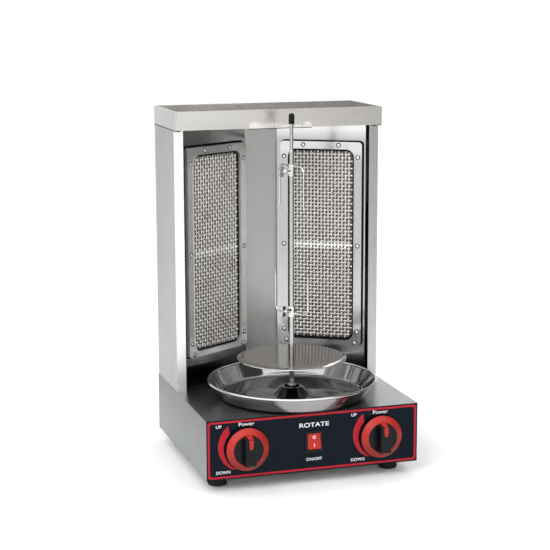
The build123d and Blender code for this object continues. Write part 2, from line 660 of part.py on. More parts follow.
# ---- drip pan -----------------------------------------------------------------------
def drip_pan():
    """Round dished pan with a rounded foot, a rolled rim and a raised, holed centre."""
    thick, roll_r, wall_bend, hump_bend = 0.9, 1.7, 8.0, 2.5
    floor = BASE_TOP + GAP + thick / 2
    hole_r, brim, hump_r, hump_top = 11.0, 4.0, 26.0, 113.5
    between_r = 60.0
    hump = FilletPolyline((hole_r, 0, hump_top), (hole_r + brim, 0, hump_top), (hump_r, 0, floor),
                          (between_r, 0, floor), radius=hump_bend)
    wall = FilletPolyline((between_r, 0, floor), (PAN_FLOOR_R, 0, floor),
                          (PAN_RIM_R - roll_r, 0, PAN_RIM_Z - roll_r), radius=wall_bend)
    pan = revolve(offset_band(hump, thick), axis=Axis.Z)
    pan += revolve(offset_band(wall, thick), axis=Axis.Z)
    pan += Pos(0, 0, PAN_RIM_Z - roll_r) * Torus(PAN_RIM_R - roll_r, roll_r)
    return Pos(0, SPIT_Y, 0) * pan


def offset_band(line, thick):
    """A face of even thickness along a line in the XZ plane."""
    return Plane.XZ * trace(Plane.XZ.to_local_coords(line), line_width=thick)


# ---- cabinet ------------------------------------------------------------------------
def side_panel(side):
    """C-shaped panel: web, front flange and rear flange."""
    outer = HALF_WIDTH - 0.3
    inner = outer - SHEET
    panel = block(side * inner, side * outer, POST_FRONT, CABINET_BACK, BASE_TOP, TRAY_BOTTOM)
    for flange_y in (POST_FRONT, CABINET_BACK - SHEET):
        panel += block(side * POST_INNER, side * outer, flange_y, flange_y + SHEET,
                       BASE_TOP, TRAY_BOTTOM)
    for x, z in back_screw_places():
        if x * side > 0:
            panel -= bar_y(SCREW_R, CABINET_BACK - SHEET, CABINET_BACK, x, z)
    return panel


def back_panel():
    """Back sheet inside the rear flanges, with rows of vent slots."""
    half = HALF_WIDTH - 0.3 - SHEET
    y1 = CABINET_BACK - SHEET
    y0 = y1 - SHEET
    panel = block(-half, half, y0, y1, BASE_TOP, TRAY_BOTTOM)
    slot_length, slot_height, pitch, rows = 60.0, 5.0, 14.0, 7
    for bank_z in (150.0, 345.0):
        for i in range(rows):
            z = bank_z + pitch * i
            for x in (-75.0, 0.0, 75.0):
                slot = rounded_slab(slot_length, slot_height, 2.4, y0, y1, z)
                panel -= Pos(x, 0, 0) * slot
    for x, z in back_screw_places():
        panel -= bar_y(SCREW_R, y0, y1, x, z)
    return panel


def back_screw_places():
    return [(side * 142.0, z) for side in SIDES.values() for z in (125.0, 286.0, 447.0)]


def centre_panel():
    y = CENTRE_FACE
    return block(-CENTRE_HALF, CENTRE_HALF, y, y + CENTRE_THICK, BASE_TOP, TRAY_BOTTOM)


BODY_HALF = 52.0            # burner body half width
BODY_HALF_Z = 144.0


def reflector(side):
    """Angled polished plate with a tab behind the centre panel and a cut-out for the burner."""
    lean, across = sin(radians(WING_ANGLE)), cos(radians(WING_ANGLE))
    slope = lean / across
    face_y = BURNER_Y + BURNER_X * slope + WING_DEPTH / across
    back_y = face_y + SHEET / across
    tab_x, root_x, tip_x = 12.0, CENTRE_HALF + 0.1, WING_OUTER_X
    tab_y = CENTRE_FACE + CENTRE_THICK
    tip_y = face_y - slope * tip_x
    outline = [(tab_x, tab_y), (root_x, tab_y), (root_x, face_y - slope * root_x), (tip_x, tip_y),
               (tip_x + SHEET * lean, tip_y + SHEET * across),
               ((back_y - tab_y - SHEET) / slope, tab_y + SHEET), (tab_x, tab_y + SHEET)]
    sheet = make_face(Polyline([(side * x, y) for x, y in outline], close=True))
    plate = extrude(sheet, amount=TRAY_BOTTOM - BASE_TOP, dir=(0, 0, 1))
    plate = Pos(0, 0, BASE_TOP) * plate
    cut_y0, cut_y1 = WING_DEPTH - 2.0, WING_DEPTH + 4.0
    cut = block(-BODY_HALF, BODY_HALF, cut_y0, cut_y1, BURNER_Z - BODY_HALF_Z, BURNER_Z + BODY_HALF_Z)
    for x, z in burner_screw_places():
        cut += bar_y(BURNER_SCREW_R, cut_y0, cut_y1, x, z)
    return plate - burner_frame_at(side) * cut


def top_tray():
    """Open tray with a folded hem round its rim."""
    hem, hem_h = 1.2, 7.0
    tray = block(-HALF_WIDTH, HALF_WIDTH, TRAY_FRONT, CABINET_BACK, TRAY_BOTTOM, TRAY_TOP)
    tray -= block(SHEET - HALF_WIDTH, HALF_WIDTH - SHEET, TRAY_FRONT + SHEET, CABINET_BACK - SHEET,
                  TRAY_BOTTOM + SHEET, TRAY_TOP)
    rim = block(SHEET - HALF_WIDTH, HALF_WIDTH - SHEET, TRAY_FRONT + SHEET, CABINET_BACK - SHEET,
                TRAY_TOP - hem_h, TRAY_TOP)
    inset = SHEET + hem
    rim -= block(inset - HALF_WIDTH, HALF_WIDTH - inset, TRAY_FRONT + inset, CABINET_BACK - inset,
                 TRAY_TOP - hem_h, TRAY_TOP)
    for x in BRACKET_SCREW_X:
        tray -= bar_y(SCREW_R, TRAY_FRONT, TRAY_FRONT + SHEET, x, BRACKET_SCREW_Z)
    return tray + rim


BRACKET_HALF = 45.5
BRACKET_TOP = 479.0
TONGUE_THICK = 1.5
TONGUE_FRONT = SPIT_Y - 6.0
TONGUE_SIDE = [(14.0, TONGUE_FRONT), (15.0, -38.0), (26.0, -15.0), (36.0, TRAY_FRONT)]
BRACKET_SCREW_X = (-11.0, 11.0)
BRACKET_SCREW_Z = 474.4


def spit_bracket():
    """Low back plate and a flared forward tongue, slotted from the front round the neck."""
    back_y = TRAY_FRONT - SHEET
    corner_r, tongue_corner_r = 7.5, 2.5
    plate = block(-BRACKET_HALF, BRACKET_HALF, back_y, TRAY_FRONT, TRAY_BOTTOM, BRACKET_TOP)
    corners = plate.edges().filter_by(Axis.Y).group_by(Axis.Z)[-1]
    plate = fillet(corners, corner_r)
    for x in BRACKET_SCREW_X:
        plate -= bar_y(SCREW_R, back_y, TRAY_FRONT, x, BRACKET_SCREW_Z)
    under = BRACKET_TOP - TONGUE_THICK
    outline = TONGUE_SIDE + [(-x, y) for x, y in reversed(TONGUE_SIDE)]
    sheet = make_face(Polyline(outline, close=True))
    sheet = fillet(sheet.vertices().group_by(Axis.Y)[0], tongue_corner_r)
    tongue = Pos(0, 0, under) * extrude(sheet, amount=TONGUE_THICK)
    slot_r = NECK_R + GAP
    tongue -= post(slot_r, under, BRACKET_TOP, 0, SPIT_Y)
    tongue -= block(-slot_r, slot_r, TONGUE_FRONT, SPIT_Y, under, BRACKET_TOP)
    return plate + tongue


def case_screws():
    """Equal pan-head screws: bracket, back panel and motor hanger."""
    head, shank = (2.6, 1.8), 6.0
    screws = []
    for x in BRACKET_SCREW_X:
        at = Pos(x, TRAY_FRONT - SHEET, BRACKET_SCREW_Z) * Rot(90, 0, 0)
        screws.append(at * pan_head_screw(*head, SCREW_R, shank))
    for x, z in back_screw_places():
        at = Pos(x, CABINET_BACK, z) * Rot(-90, 0, 0)
        screws.append(at * pan_head_screw(*head, SCREW_R, 2 * SHEET))
    for x, y in MOTOR_SCREWS:
        at = Pos(x, y, BASE_TOP - SHEET - 1.5) * Rot(180, 0, 0)
        screws.append(at * pan_head_screw(*head, SCREW_R, 1.5 + SHEET))
    return screws


# ---- burners ------------------------------------------------------------------------
BURNER_SCREW_R = 1.4
BURNER_HEAD = (2.5, 1.7)
SCREW_END = 1.0             # screw tip past the flange
LIP_DEPTH = 4.4
LIP_RISE = 0.7
LIP_THICK = 1.2
PLAQUE_FRONT = 5.8
PLAQUE_THICK = 12.0
BODY_DEPTH = 40.0


def burner_screw_places():
    """Ten screws: three down each side, two above and two below the window."""
    side_x = FRAME_SIZE[0] / 2 - 5.6
    places = [(sx * side_x, z) for sx in (-1, 1) for z in (422.0, 293.6, 166.0)]
    places += [(x, 439.2) for x in (-26.0, 26.0)]
    return places + [(x, 149.8) for x in (-51.0, 51.0)]


def burner_frame(side):
    """Pressed front frame: flat face, skirt back to the reflector, raised lip round the window."""
    outer_w, outer_h = FRAME_SIZE
    win_w, win_h = WINDOW_SIZE
    face = rounded_slab(outer_w, outer_h, 5.0, 0, WING_DEPTH, FRAME_Z)
    hollow = rounded_slab(outer_w - 2 * SHEET, outer_h - 2 * SHEET, 4.0, SHEET, WING_DEPTH, FRAME_Z)
    grow, corner = 2 * LIP_THICK, 12.0
    lip = rounded_slab(win_w + grow, win_h + grow, corner + LIP_THICK, -LIP_RISE, LIP_DEPTH, BURNER_Z)
    window = rounded_slab(win_w, win_h, corner, -LIP_RISE, LIP_DEPTH, BURNER_Z)
    frame = face - hollow + lip - window
    for x, z in burner_screw_places():
        frame -= bar_y(BURNER_SCREW_R, 0, SHEET, x, z)
    return burner_frame_at(side) * frame


def burner_mesh(side):
    """Thin woven-wire cover as a shallow pan with its edges bent back to the plaques."""
    half_w, half_h, corner_r = 48.2, 139.4, 11.6
    front, thick, slope = 1.6, 1.4, 2.6

    def dish(inset, y0):
        width, height = 2 * (half_w - inset), 2 * (half_h - inset)
        slab = rounded_slab(width, height, corner_r - inset, y0, PLAQUE_FRONT, BURNER_Z)
        return chamfer(slab.faces().sort_by(Axis.Y)[0].edges(), slope)
    return burner_frame_at(side) * (dish(0, front) - dish(thick, front + thick))


def burner_plaques(side):
    """Two perforated ceramic plaques, one above the other, with a narrow seam."""
    half_w, half_h, seam = 50.0, 142.0, 1.0
    y1 = PLAQUE_FRONT + PLAQUE_THICK
    lower = block(-half_w, half_w, PLAQUE_FRONT, y1, BURNER_Z - half_h, BURNER_Z - seam / 2)
    upper = block(-half_w, half_w, PLAQUE_FRONT, y1, BURNER_Z + seam / 2, BURNER_Z + half_h)
    at = burner_frame_at(side)
    return [at * lower, at * upper]


def burner_body(side):
    """Open-fronted plenum box with a fixing flange, a plaque ledge and a mixing tube."""
    wall, ledge_width, tube_r, injector_r = 1.5, 8.0, 7.5, 4.0
    tube_end = BODY_HALF - 22.0
    flange_y = WING_DEPTH + SHEET
    low, high = BURNER_Z - BODY_HALF_Z, BURNER_Z + BODY_HALF_Z
    ledge_y = PLAQUE_FRONT + PLAQUE_THICK
    half = BODY_HALF
    body = block(-half, half, flange_y, BODY_DEPTH, low, high)
    body += rounded_slab(FRAME_SIZE[0] - 3, FRAME_SIZE[1] - 3, 4.0, flange_y, flange_y + SHEET, FRAME_Z)
    body -= block(wall - half, half - wall, flange_y, BODY_DEPTH - wall, low + wall, high - wall)
    ledge = block(wall - half, half - wall, ledge_y, ledge_y + wall, low + wall, high - wall)
    ledge -= block(ledge_width - half, half - ledge_width, ledge_y, ledge_y + wall,
                   low + ledge_width, high - ledge_width)
    body += ledge
    mouth = side * half
    tube_y = PIPE_LOCAL[1]
    mixing = bar_x(tube_r, -side * tube_end, mouth, tube_y, BURNER_Z)
    mixing -= bar_x(tube_r - wall, -side * tube_end, mouth, tube_y, BURNER_Z)
    body += mixing
    body -= bar_x(injector_r, mouth - 2 * side * wall, mouth, tube_y, BURNER_Z)
    for x, z in burner_screw_places():
        body -= bar_y(BURNER_SCREW_R, flange_y, flange_y + SHEET + SCREW_END, x, z)
    return burner_frame_at(side) * body


def burner_screws():
    """Twenty equal round-head screws that hold the two frames."""
    screws = []
    length = WING_DEPTH + 2 * SHEET + SCREW_END
    for side in SIDES.values():
        at = burner_frame_at(side)
        for x, z in burner_screw_places():
            screw = pan_head_screw(*BURNER_HEAD, BURNER_SCREW_R, length)
            screws.append(at * Pos(x, 0, z) * Rot(90, 0, 0) * screw)
    return screws


# ---- all nodes ----------------------------------------------------------------------
def build_nodes():
    nodes = {
        "base_shell": base_shell(),
        "base_front_plate": base_front_plate(),
        "control_panel_label": control_panel_label(),
        "base_bottom_plate": base_bottom_plate(),
        "rubber_feet": rubber_feet(),
        "foot_screws": foot_screws(),
        "switch_bezel": switch_bezel(),
        "rocker_button": rocker_button(),
        "gas_valves": gas_valves(),
        "gas_manifold": gas_manifold(),
        "gas_inlet_fitting": gas_inlet_fitting(),
        "gas_injectors": gas_injectors(),
        "cable_gland": cable_gland(),
        "terminal_block": terminal_block(),
        "gear_motor": gear_motor(),
        "gearbox_case": gearbox_case(),
        "gearbox_cover": gearbox_cover(),
        "motor_bracket": motor_bracket(),
        "motor_pinion": motor_pinion(),
        "output_gear": output_gear(),
        "output_shaft": output_shaft(),
        "shaft_bush": shaft_bush(),
        "drive_coupling": drive_coupling(),
        "spit_rod": spit_rod(),
        "spit_drive_pin": spit_drive_pin(),
        "spit_cap": spit_cap(),
        "meat_disc": meat_disc(),
        "upper_fork": fork_from(UPPER),
        "lower_fork": fork_from(LOWER),
        "upper_wing_screw": wing_screw(UPPER["screw"], UPPER["screw_z"]),
        "lower_wing_screw": wing_screw(LOWER["screw"], LOWER["screw_z"]),
        "drip_pan": drip_pan(),
        "back_panel": back_panel(),
        "centre_panel": centre_panel(),
        "top_tray": top_tray(),
        "spit_bracket": spit_bracket(),
        "case_screws": case_screws(),
        "burner_screws": burner_screws(),
    }
    for name, side in SIDES.items():
        nodes[name + "_knob_skirt"] = knob_skirt(side)
        nodes[name + "_knob_grip"] = knob_grip(side)
        nodes[name + "_valve_stem"] = valve_stem(side)
        nodes[name + "_gas_pipe"] = gas_pipe(side)
        nodes[name + "_side_panel"] = side_panel(side)
        nodes[name + "_reflector"] = reflector(side)
        nodes[name + "_burner_body"] = burner_body(side)
        nodes[name + "_burner_plaques"] = burner_plaques(side)
        nodes[name + "_burner_frame"] = burner_frame(side)
        nodes[name + "_burner_mesh"] = burner_mesh(side)
    return nodes


os.makedirs("parts", exist_ok=True)
for node, shape in build_nodes().items():
    if isinstance(shape, list):
        shape = Compound(shape)
    export_step(shape, f"parts/{node}.step")
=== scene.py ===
import json
from math import cos, pi, radians, sin, tan

import bmesh
import bpy
from mathutils import Matrix, Vector


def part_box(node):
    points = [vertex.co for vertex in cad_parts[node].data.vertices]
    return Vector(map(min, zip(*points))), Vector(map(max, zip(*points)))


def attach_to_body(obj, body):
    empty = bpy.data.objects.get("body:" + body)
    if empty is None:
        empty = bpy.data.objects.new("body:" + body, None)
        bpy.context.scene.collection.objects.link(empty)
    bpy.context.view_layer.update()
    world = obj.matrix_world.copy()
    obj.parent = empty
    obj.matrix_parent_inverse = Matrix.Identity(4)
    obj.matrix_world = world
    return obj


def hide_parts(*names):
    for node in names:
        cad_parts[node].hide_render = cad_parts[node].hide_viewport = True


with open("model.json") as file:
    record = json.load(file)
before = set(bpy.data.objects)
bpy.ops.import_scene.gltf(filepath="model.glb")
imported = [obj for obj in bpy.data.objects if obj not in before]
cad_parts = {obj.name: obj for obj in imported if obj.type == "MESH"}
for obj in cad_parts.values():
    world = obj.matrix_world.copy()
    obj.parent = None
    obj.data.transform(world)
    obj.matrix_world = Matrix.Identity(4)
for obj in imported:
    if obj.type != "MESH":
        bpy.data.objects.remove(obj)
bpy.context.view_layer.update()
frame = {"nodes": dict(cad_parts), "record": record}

MM = 0.001
RECORD = frame["record"]
NODES = frame["nodes"]
BODY_OF = {node: body for body, nodes in RECORD["behaviour"]["bodies"].items() for node in nodes}
SLOT_OF = {part["node"]: part["material_slot"] for part in RECORD["subparts"]}
SIDES = {"left": -1, "right": 1}


# ---- camera and studio --------------------------------------------------------------
CAMERA_AT = (-0.6441, -2.0123, 0.6628)
CAMERA_YAW = 17.45
CAMERA_PITCH = 10.68
CAMERA_ROLL = 0.18
CAMERA_LENS = 100.07


def placed(name, data):
    """A new object in the scene."""
    item = bpy.data.objects.new(name, data)
    bpy.context.scene.collection.objects.link(item)
    return item


def make_camera():
    data = bpy.data.cameras.new("camera")
    data.lens = CAMERA_LENS
    data.sensor_width = 36.0
    data.clip_end = 50.0
    camera = placed("camera", data)
    turn = Matrix.Rotation(radians(-CAMERA_YAW), 4, "Z")
    tilt = Matrix.Rotation(radians(90 - CAMERA_PITCH), 4, "X")
    roll = Matrix.Rotation(radians(-CAMERA_ROLL), 4, "Z")
    camera.matrix_world = Matrix.Translation(CAMERA_AT) @ turn @ tilt @ roll
    bpy.context.scene.camera = camera


def area_light(name, at, towards, size, power):
    data = bpy.data.lights.new(name, "AREA")
    data.shape = "RECTANGLE"
    data.size, data.size_y = size
    data.energy = power
    lamp = placed(name, data)
    lamp.location = at
    lamp.rotation_euler = (Vector(towards) - Vector(at)).to_track_quat("-Z", "Y").to_euler()
    lamp.visible_camera = False


def upright_card(name, start, end, low, high, shade):
    """A glowing upright card that only shows in reflections, as a studio flag or bounce does."""
    (x0, y0), (x1, y1) = start, end
    mesh = bpy.data.meshes.new(name)
    corners = [(x0, y0, low), (x1, y1, low), (x1, y1, high), (x0, y0, high)]
    mesh.from_pydata(corners, [], [(0, 1, 2, 3)])
    card = placed(name, mesh)
    material = bpy.data.materials.new(name)
    material.use_nodes = True
    tree = material.node_tree
    tree.nodes.remove(tree.nodes["Principled BSDF"])
    glow = tree.nodes.new("ShaderNodeEmission")
    glow.inputs["Color"].default_value = (*shade, 1)
    tree.links.new(glow.outputs[0], tree.nodes["Material Output"].inputs["Surface"])
    mesh.materials.append(material)
    card.visible_camera = False
    card.visible_diffuse = False
    card.visible_shadow = False
    card.visible_transmission = False
    return card


# what the polished sheets mirror: start and end on the floor, low and high edge, shade
CARDS = {
    "back_box": ((-0.4, 2.2), (3.0, 2.2), 0.02, 2.4, (1.05, 1.05, 1.06)),
    "front_box": ((-0.55, -1.2), (0.325, -1.2), 0.0, 0.9, (1.12, 1.12, 1.11)),
    "front_seam": ((0.325, -1.2), (0.355, -1.2), 0.0, 0.9, (0.55, 0.54, 0.52)),
    "front_wall": ((0.355, -1.2), (0.575, -1.2), 0.0, 0.9, (0.92, 0.90, 0.88)),
    "front_right_wall": ((0.575, -1.2), (1.15, -0.9), 0.0, 0.9, (0.50, 0.50, 0.50)),
    "left_box": ((-1.25, -0.15), (-0.62, -1.2), 0.0, 1.2, (1.10, 1.10, 1.10)),
    "right_flag": ((0.62, -0.62), (0.62, 0.02), 0.0, 1.3, (0.075, 0.072, 0.070)),
    "right_wall": ((0.62, 0.02), (0.62, 0.10), 0.0, 1.3, (0.34, 0.33, 0.32)),
    "right_back_flag": ((0.62, 0.10), (0.62, 0.50), 0.0, 1.3, (0.10, 0.09, 0.085)),
}
FLOOR_SIZE = 60.0
BACKDROP_REACH = 9.0        # how far the white walls stand from the object, and how high
WORLD_GLOW = 0.42
SUN_ENERGY = 2.5
SUN_SPREAD = 110            # a very wide sun, so that shadows stay soft


def make_world():
    world = bpy.data.worlds.new("studio")
    world.use_nodes = True
    background = world.node_tree.nodes["Background"]
    background.inputs["Color"].default_value = (1.0, 1.0, 1.0, 1)
    background.inputs["Strength"].default_value = WORLD_GLOW
    bpy.context.scene.world = world


def make_floor():
    bpy.ops.mesh.primitive_plane_add(size=FLOOR_SIZE)
    floor = bpy.context.object
    floor.name = "floor"
    white = surface("floor_white", (0.93, 0.93, 0.93), 0.0, (0.55, 0.7), (3, 3, 3), bump=0.0, tint=0.004)
    floor.data.materials.append(white)


def make_lamps():
    sky = bpy.data.lights.new("overhead", "SUN")
    sky.energy = SUN_ENERGY
    sky.angle = radians(SUN_SPREAD)
    overhead = placed("overhead", sky)
    overhead.rotation_euler = (radians(14), radians(-10), 0)
    area_light("key", (-1.6, -1.9, 1.9), (0, 0, 0.2), (1.5, 1.2), 30)
    area_light("fill", (1.9, -1.4, 1.4), (0, 0, 0.25), (1.2, 1.2), 6)


def make_backdrop():
    """White walls round the object that only the camera sees."""
    reach = BACKDROP_REACH
    corners = [(-reach, -reach), (reach, -reach), (reach, reach), (-reach, reach)]
    for i, start in enumerate(corners):
        wall = upright_card("backdrop_" + str(i), start, corners[(i + 1) % 4], 0.0, reach, (1.0, 1.0, 1.0))
        wall.visible_camera = True
        wall.visible_glossy = False


def make_studio():
    bpy.context.scene.view_settings.view_transform = "Standard"
    make_world()
    make_floor()
    make_lamps()
    make_backdrop()
    for name, card in CARDS.items():
        upright_card(name, *card)


# ---- materials ----------------------------------------------------------------------
def bsdf_of(material):
    return material.node_tree.nodes["Principled BSDF"]


def set_inputs(material, node, inputs):
    """Sets a shader node's inputs to values, or links them to sockets."""
    for name, value in inputs.items():
        if isinstance(value, bpy.types.NodeSocket):
            material.node_tree.links.new(value, node.inputs[name])
        else:
            node.inputs[name].default_value = value


def add_node(material, kind, inputs, **settings):
    """A new shader node with its settings and inputs."""
    node = material.node_tree.nodes.new("ShaderNode" + kind)
    for name, value in settings.items():
        setattr(node, name, value)
    set_inputs(material, node, inputs)
    return node


def own_place(material):
    """The place on the piece, in its own metres, as a vector socket."""
    return add_node(material, "TexCoord", {}).outputs["Object"]


def component(material, vector, axis):
    """One component of a vector socket."""
    return add_node(material, "SeparateXYZ", {0: vector}).outputs["XYZ".index(axis)]


def noise(material, grain, detail=3.0, distortion=0.0):
    """Noise in the piece's own metres, stretched by the grain, as a factor socket."""
    mapping = add_node(material, "Mapping", {"Vector": own_place(material), "Scale": grain})
    shape = {"Vector": mapping.outputs["Vector"], "Scale": 1.0, "Detail": detail, "Distortion": distortion}
    return add_node(material, "TexNoise", shape).outputs["Fac"]


def spread(material, factor, low, high, start=0.3, end=0.7):
    """The factor mapped from start..end to low..high."""
    limits = {"Value": factor, "From Min": start, "From Max": end, "To Min": low, "To Max": high}
    return add_node(material, "MapRange", limits).outputs["Result"]


def blend_colors(material, factor, first, second):
    return add_node(material, "Mix", {"Factor": factor, 6: first, 7: second}, data_type="RGBA").outputs[2]


def add_sockets(material, first, second, operation="ADD"):
    """The sum, or another result, of two factor sockets."""
    return add_node(material, "Math", {0: first, 1: second}, operation=operation).outputs[0]


def shade_of(color, factor):
    return tuple(min(1.0, c * factor) for c in color) + (1.0,)


def surface(name, color, metallic=0.0, rough=(0.3, 0.45), grain=(300, 300, 300), bump=0.1, tint=0.05,
            smudge=0.06, depth=0.00004, shine=0.5):
    """A procedural material: grain in colour, roughness and bump, with broad smudges over it."""
    material = bpy.data.materials.new(name)
    material.use_nodes = True
    fine = noise(material, grain)
    broad = noise(material, (14, 14, 14), detail=4.0, distortion=0.4)
    darker, lighter = shade_of(color, 1 - tint), shade_of(color, 1 + tint)
    tone = blend_colors(material, spread(material, fine, 0, 1), darker, lighter)
    worn = spread(material, broad, -smudge, smudge)
    roughness = add_sockets(material, spread(material, fine, *rough), worn)
    look = {"Metallic": metallic, "Specular IOR Level": shine, "Base Color": tone, "Roughness": roughness}
    if bump:
        relief = add_node(material, "Bump", {"Strength": bump, "Distance": depth, "Height": fine})
        look["Normal"] = relief.outputs["Normal"]
    set_inputs(material, bsdf_of(material), look)
    return material


def normal_along(material, axis):
    """The surface's direction along one axis, from -1 to 1."""
    return component(material, add_node(material, "NewGeometry", {}).outputs["Normal"], axis)


def facing(material, axis, level):
    """1 where the surface looks along an axis (with its sign), 0 elsewhere."""
    soft = 0.1 if level > 0 else -0.1
    return spread(material, normal_along(material, axis), 0, 1, level - soft, level)


def along(material, axis, start, end):
    """0 to 1 between two places on an axis, in the piece's own metres."""
    return spread(material, component(material, own_place(material), axis), 0, 1, start, end)


def recolor(material, factor, color):
    """Blends the base colour towards another colour, or towards itself times a number."""
    bsdf = bsdf_of(material)
    old = bsdf.inputs["Base Color"].links[0].from_socket
    if isinstance(color, float):
        color = add_node(material, "VectorMath", {0: old, "Scale": color}, operation="SCALE").outputs[0]
    set_inputs(material, bsdf, {"Base Color": blend_colors(material, factor, old, color)})


# grains, in waves per metre along X, Y and Z
BRUSHED_ALONG = (20, 2500, 2500)
BRUSHED_UPRIGHT = (2500, 2500, 20)
VERY_FINE = (900, 900, 900)
FINE = (600, 600, 600)
ROLLED = (60, 60, 60)


def ceramic_surface():
    """Matt burner plaque, its colour darkened as painted shade from the woven wire in front of it, with
    rows of small burner holes painted dark as the shade inside them.
    """
    material = surface("burner_ceramic", (0.13, 0.11, 0.09), 0.0, (0.85, 0.95), (500, 500, 500), tint=0.1)
    holes_per_metre = 420.0
    grid = {"Vector": own_place(material), "Scale": holes_per_metre, "Randomness": 0.0}
    cells = add_node(material, "TexVoronoi", grid)
    # Painted shade: each burner hole is coloured near black for the shade inside it.
    hole_shade = spread(material, cells.outputs["Distance"], 1.0, 0.0, 0.25, 0.40)
    recolor(material, hole_shade, (0.012, 0.010, 0.009, 1))
    return material


def wire_surface(name, color):
    """Oxidised heat-resistant wire: rubbed, with warm stains, and pale beside the plaques' joint."""
    material = surface(name, color, 1.0, (0.34, 0.46), (700, 700, 700), 0.2, 0.15)
    stains = spread(material, noise(material, (45, 45, 45)), 0, 0.45, 0.5, 0.8)
    recolor(material, stains, (0.40, 0.34, 0.29, 1))
    above = along(material, "Z", 0.2985, 0.2970)
    below = along(material, "Z", 0.2885, 0.2900)
    recolor(material, add_sockets(material, above, below, "MULTIPLY"), (0.95, 0.94, 0.92, 1))
    return material


def reflector_surface(name, shade_beside_burner, soot_and_shade):
    """Bright reflector sheet with painted shade beside the burner, below the strip under the tray, and
    darker near the base from soot and painted shade.
    """
    material = surface(name, (0.84, 0.84, 0.83), 1.0, (0.13, 0.19), (18, 18, 18), 0.12, 0.02, smudge=0.03,
                       depth=0.0006)
    # Painted shade beside the burner, below the strip under the tray.
    recolor(material, along(material, "Z", 0.462, 0.446), shade_beside_burner)
    # Darker near the base: partly soot, partly painted shade.
    recolor(material, along(material, "Z", 0.156, 0.120), soot_and_shade)
    return material


def frame_surface(name, color, metallic, upper_painted_light):
    """Pressed burner frame, with painted light along its upper edge."""
    material = surface(name, color, metallic, (0.14, 0.20), ROLLED, 0.10, 0.03, smudge=0.03, depth=0.0002)
    # Painted light along the upper edge, in its own colour for each frame.
    recolor(material, along(material, "Z", 0.415, 0.432), upper_painted_light)
    return material


def red_surface():
    """Glossy red plastic with painted shade where it faces down or to the right."""
    material = surface("red_plastic", (0.42, 0.020, 0.013), 0.0, (0.32, 0.42), VERY_FINE, 0.12, shine=0.3)
    # Painted shade on surfaces facing down, then on surfaces facing right.
    recolor(material, spread(material, normal_along(material, "Z"), 0, 1, 0.15, -0.45), 0.55)
    recolor(material, spread(material, normal_along(material, "X"), 0, 1, 0.0, 0.5), 0.75)
    return material


def disc_surface():
    """Flat top painted darker as painted reflection, with a brighter sloping rim."""
    material = surface("disc_steel", (0.66, 0.655, 0.64), 1.0, (0.10, 0.15), bump=0.03, tint=0.02)
    # Painted reflection: the upward-facing top is darkened.
    recolor(material, facing(material, "Z", 0.985), (0.37, 0.355, 0.335, 1))
    return material


def pan_surface():
    """Polished dish with its upward-facing floor painted darker as painted shade, a darker centre and a
    painted highlight along the rolled rim.
    """
    material = surface("pan_steel", (0.43, 0.43, 0.43), 1.0, (0.07, 0.12), (40, 40, 40), 0.06, 0.03,
                       smudge=0.03, depth=0.0004)
    # Painted shade on the upward-facing floor.
    recolor(material, facing(material, "Z", 0.97), (0.21, 0.21, 0.215, 1))
    centre = (SPIT_X, SPIT_Y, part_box("drip_pan")[0].z + PAN_CENTRE_RISE)
    gap = add_node(material, "VectorMath", {0: own_place(material), 1: centre}, operation="DISTANCE")
    recolor(material, spread(material, gap.outputs["Value"], 1, 0, 0.024, 0.028), 0.45)
    # Painted highlight along the rolled rim.
    recolor(material, along(material, "Z", 0.1236, 0.1248), (0.78, 0.78, 0.78, 1))
    return material


def rod_surface():
    """Ground rod with painted shade below the meat disc, down to the drip pan's rim, and lighter again
    below that towards the coupling.
    """
    material = surface("rod_steel", (0.52, 0.52, 0.52), 1.0, (0.18, 0.26), (900, 900, 60), 0.05, 0.03)
    # Painted shade below the meat disc, down to the drip pan's rim; lighter again below the rim.
    recolor(material, along(material, "Z", 0.156, 0.150), 0.35)
    recolor(material, along(material, "Z", 0.126, 0.124), (0.60, 0.60, 0.60, 1))
    return material


def base_surface():
    """Base sheet: dull blue-grey sides, dark with painted shade that grows upwards, and a smooth top with
    painted reflection, lighter to the right.
    """
    material = surface("base_sheet", (0.250, 0.262, 0.275), 1.0, (0.26, 0.34), (30, 2500, 2500), 0.03, 0.02,
                       smudge=0.03)
    # Painted shade: the sides darken upwards.
    recolor(material, along(material, "Z", 0.03, 0.10), 0.56)
    # Painted reflection: the top is lighter to the right.
    left, right = (0.24, 0.24, 0.25, 1), (0.38, 0.385, 0.395, 1)
    top = blend_colors(material, along(material, "X", -0.13, 0.13), left, right)
    recolor(material, facing(material, "Z", 0.8), top)
    return material


def panel_surface(name, front_painted_light):
    """Side panel sheet whose narrow front flange has its own colour as painted light."""
    sheet = (0.37, 0.376, 0.376)
    material = surface(name, sheet, 1.0, (0.26, 0.36), BRUSHED_UPRIGHT, 0.03, 0.02, smudge=0.04)
    # Painted light on the front flange.
    recolor(material, facing(material, "Y", -0.8), front_painted_light)
    return material


def tray_surface():
    """Warm bright tray sheet, with its left side painted darker as painted shade."""
    material = surface("tray_sheet", (0.665, 0.65, 0.62), 1.0, (0.22, 0.30), BRUSHED_ALONG, 0.03, 0.02,
                       smudge=0.04)
    wave = noise(material, (9, 9, 60), detail=2.0)
    recolor(material, spread(material, wave, 0, 1, 0.48, 0.66), 0.94)
    # Painted shade on the left side.
    recolor(material, facing(material, "X", -0.8), (0.50, 0.50, 0.50, 1))
    return material


STEEL = (0.60, 0.60, 0.59)
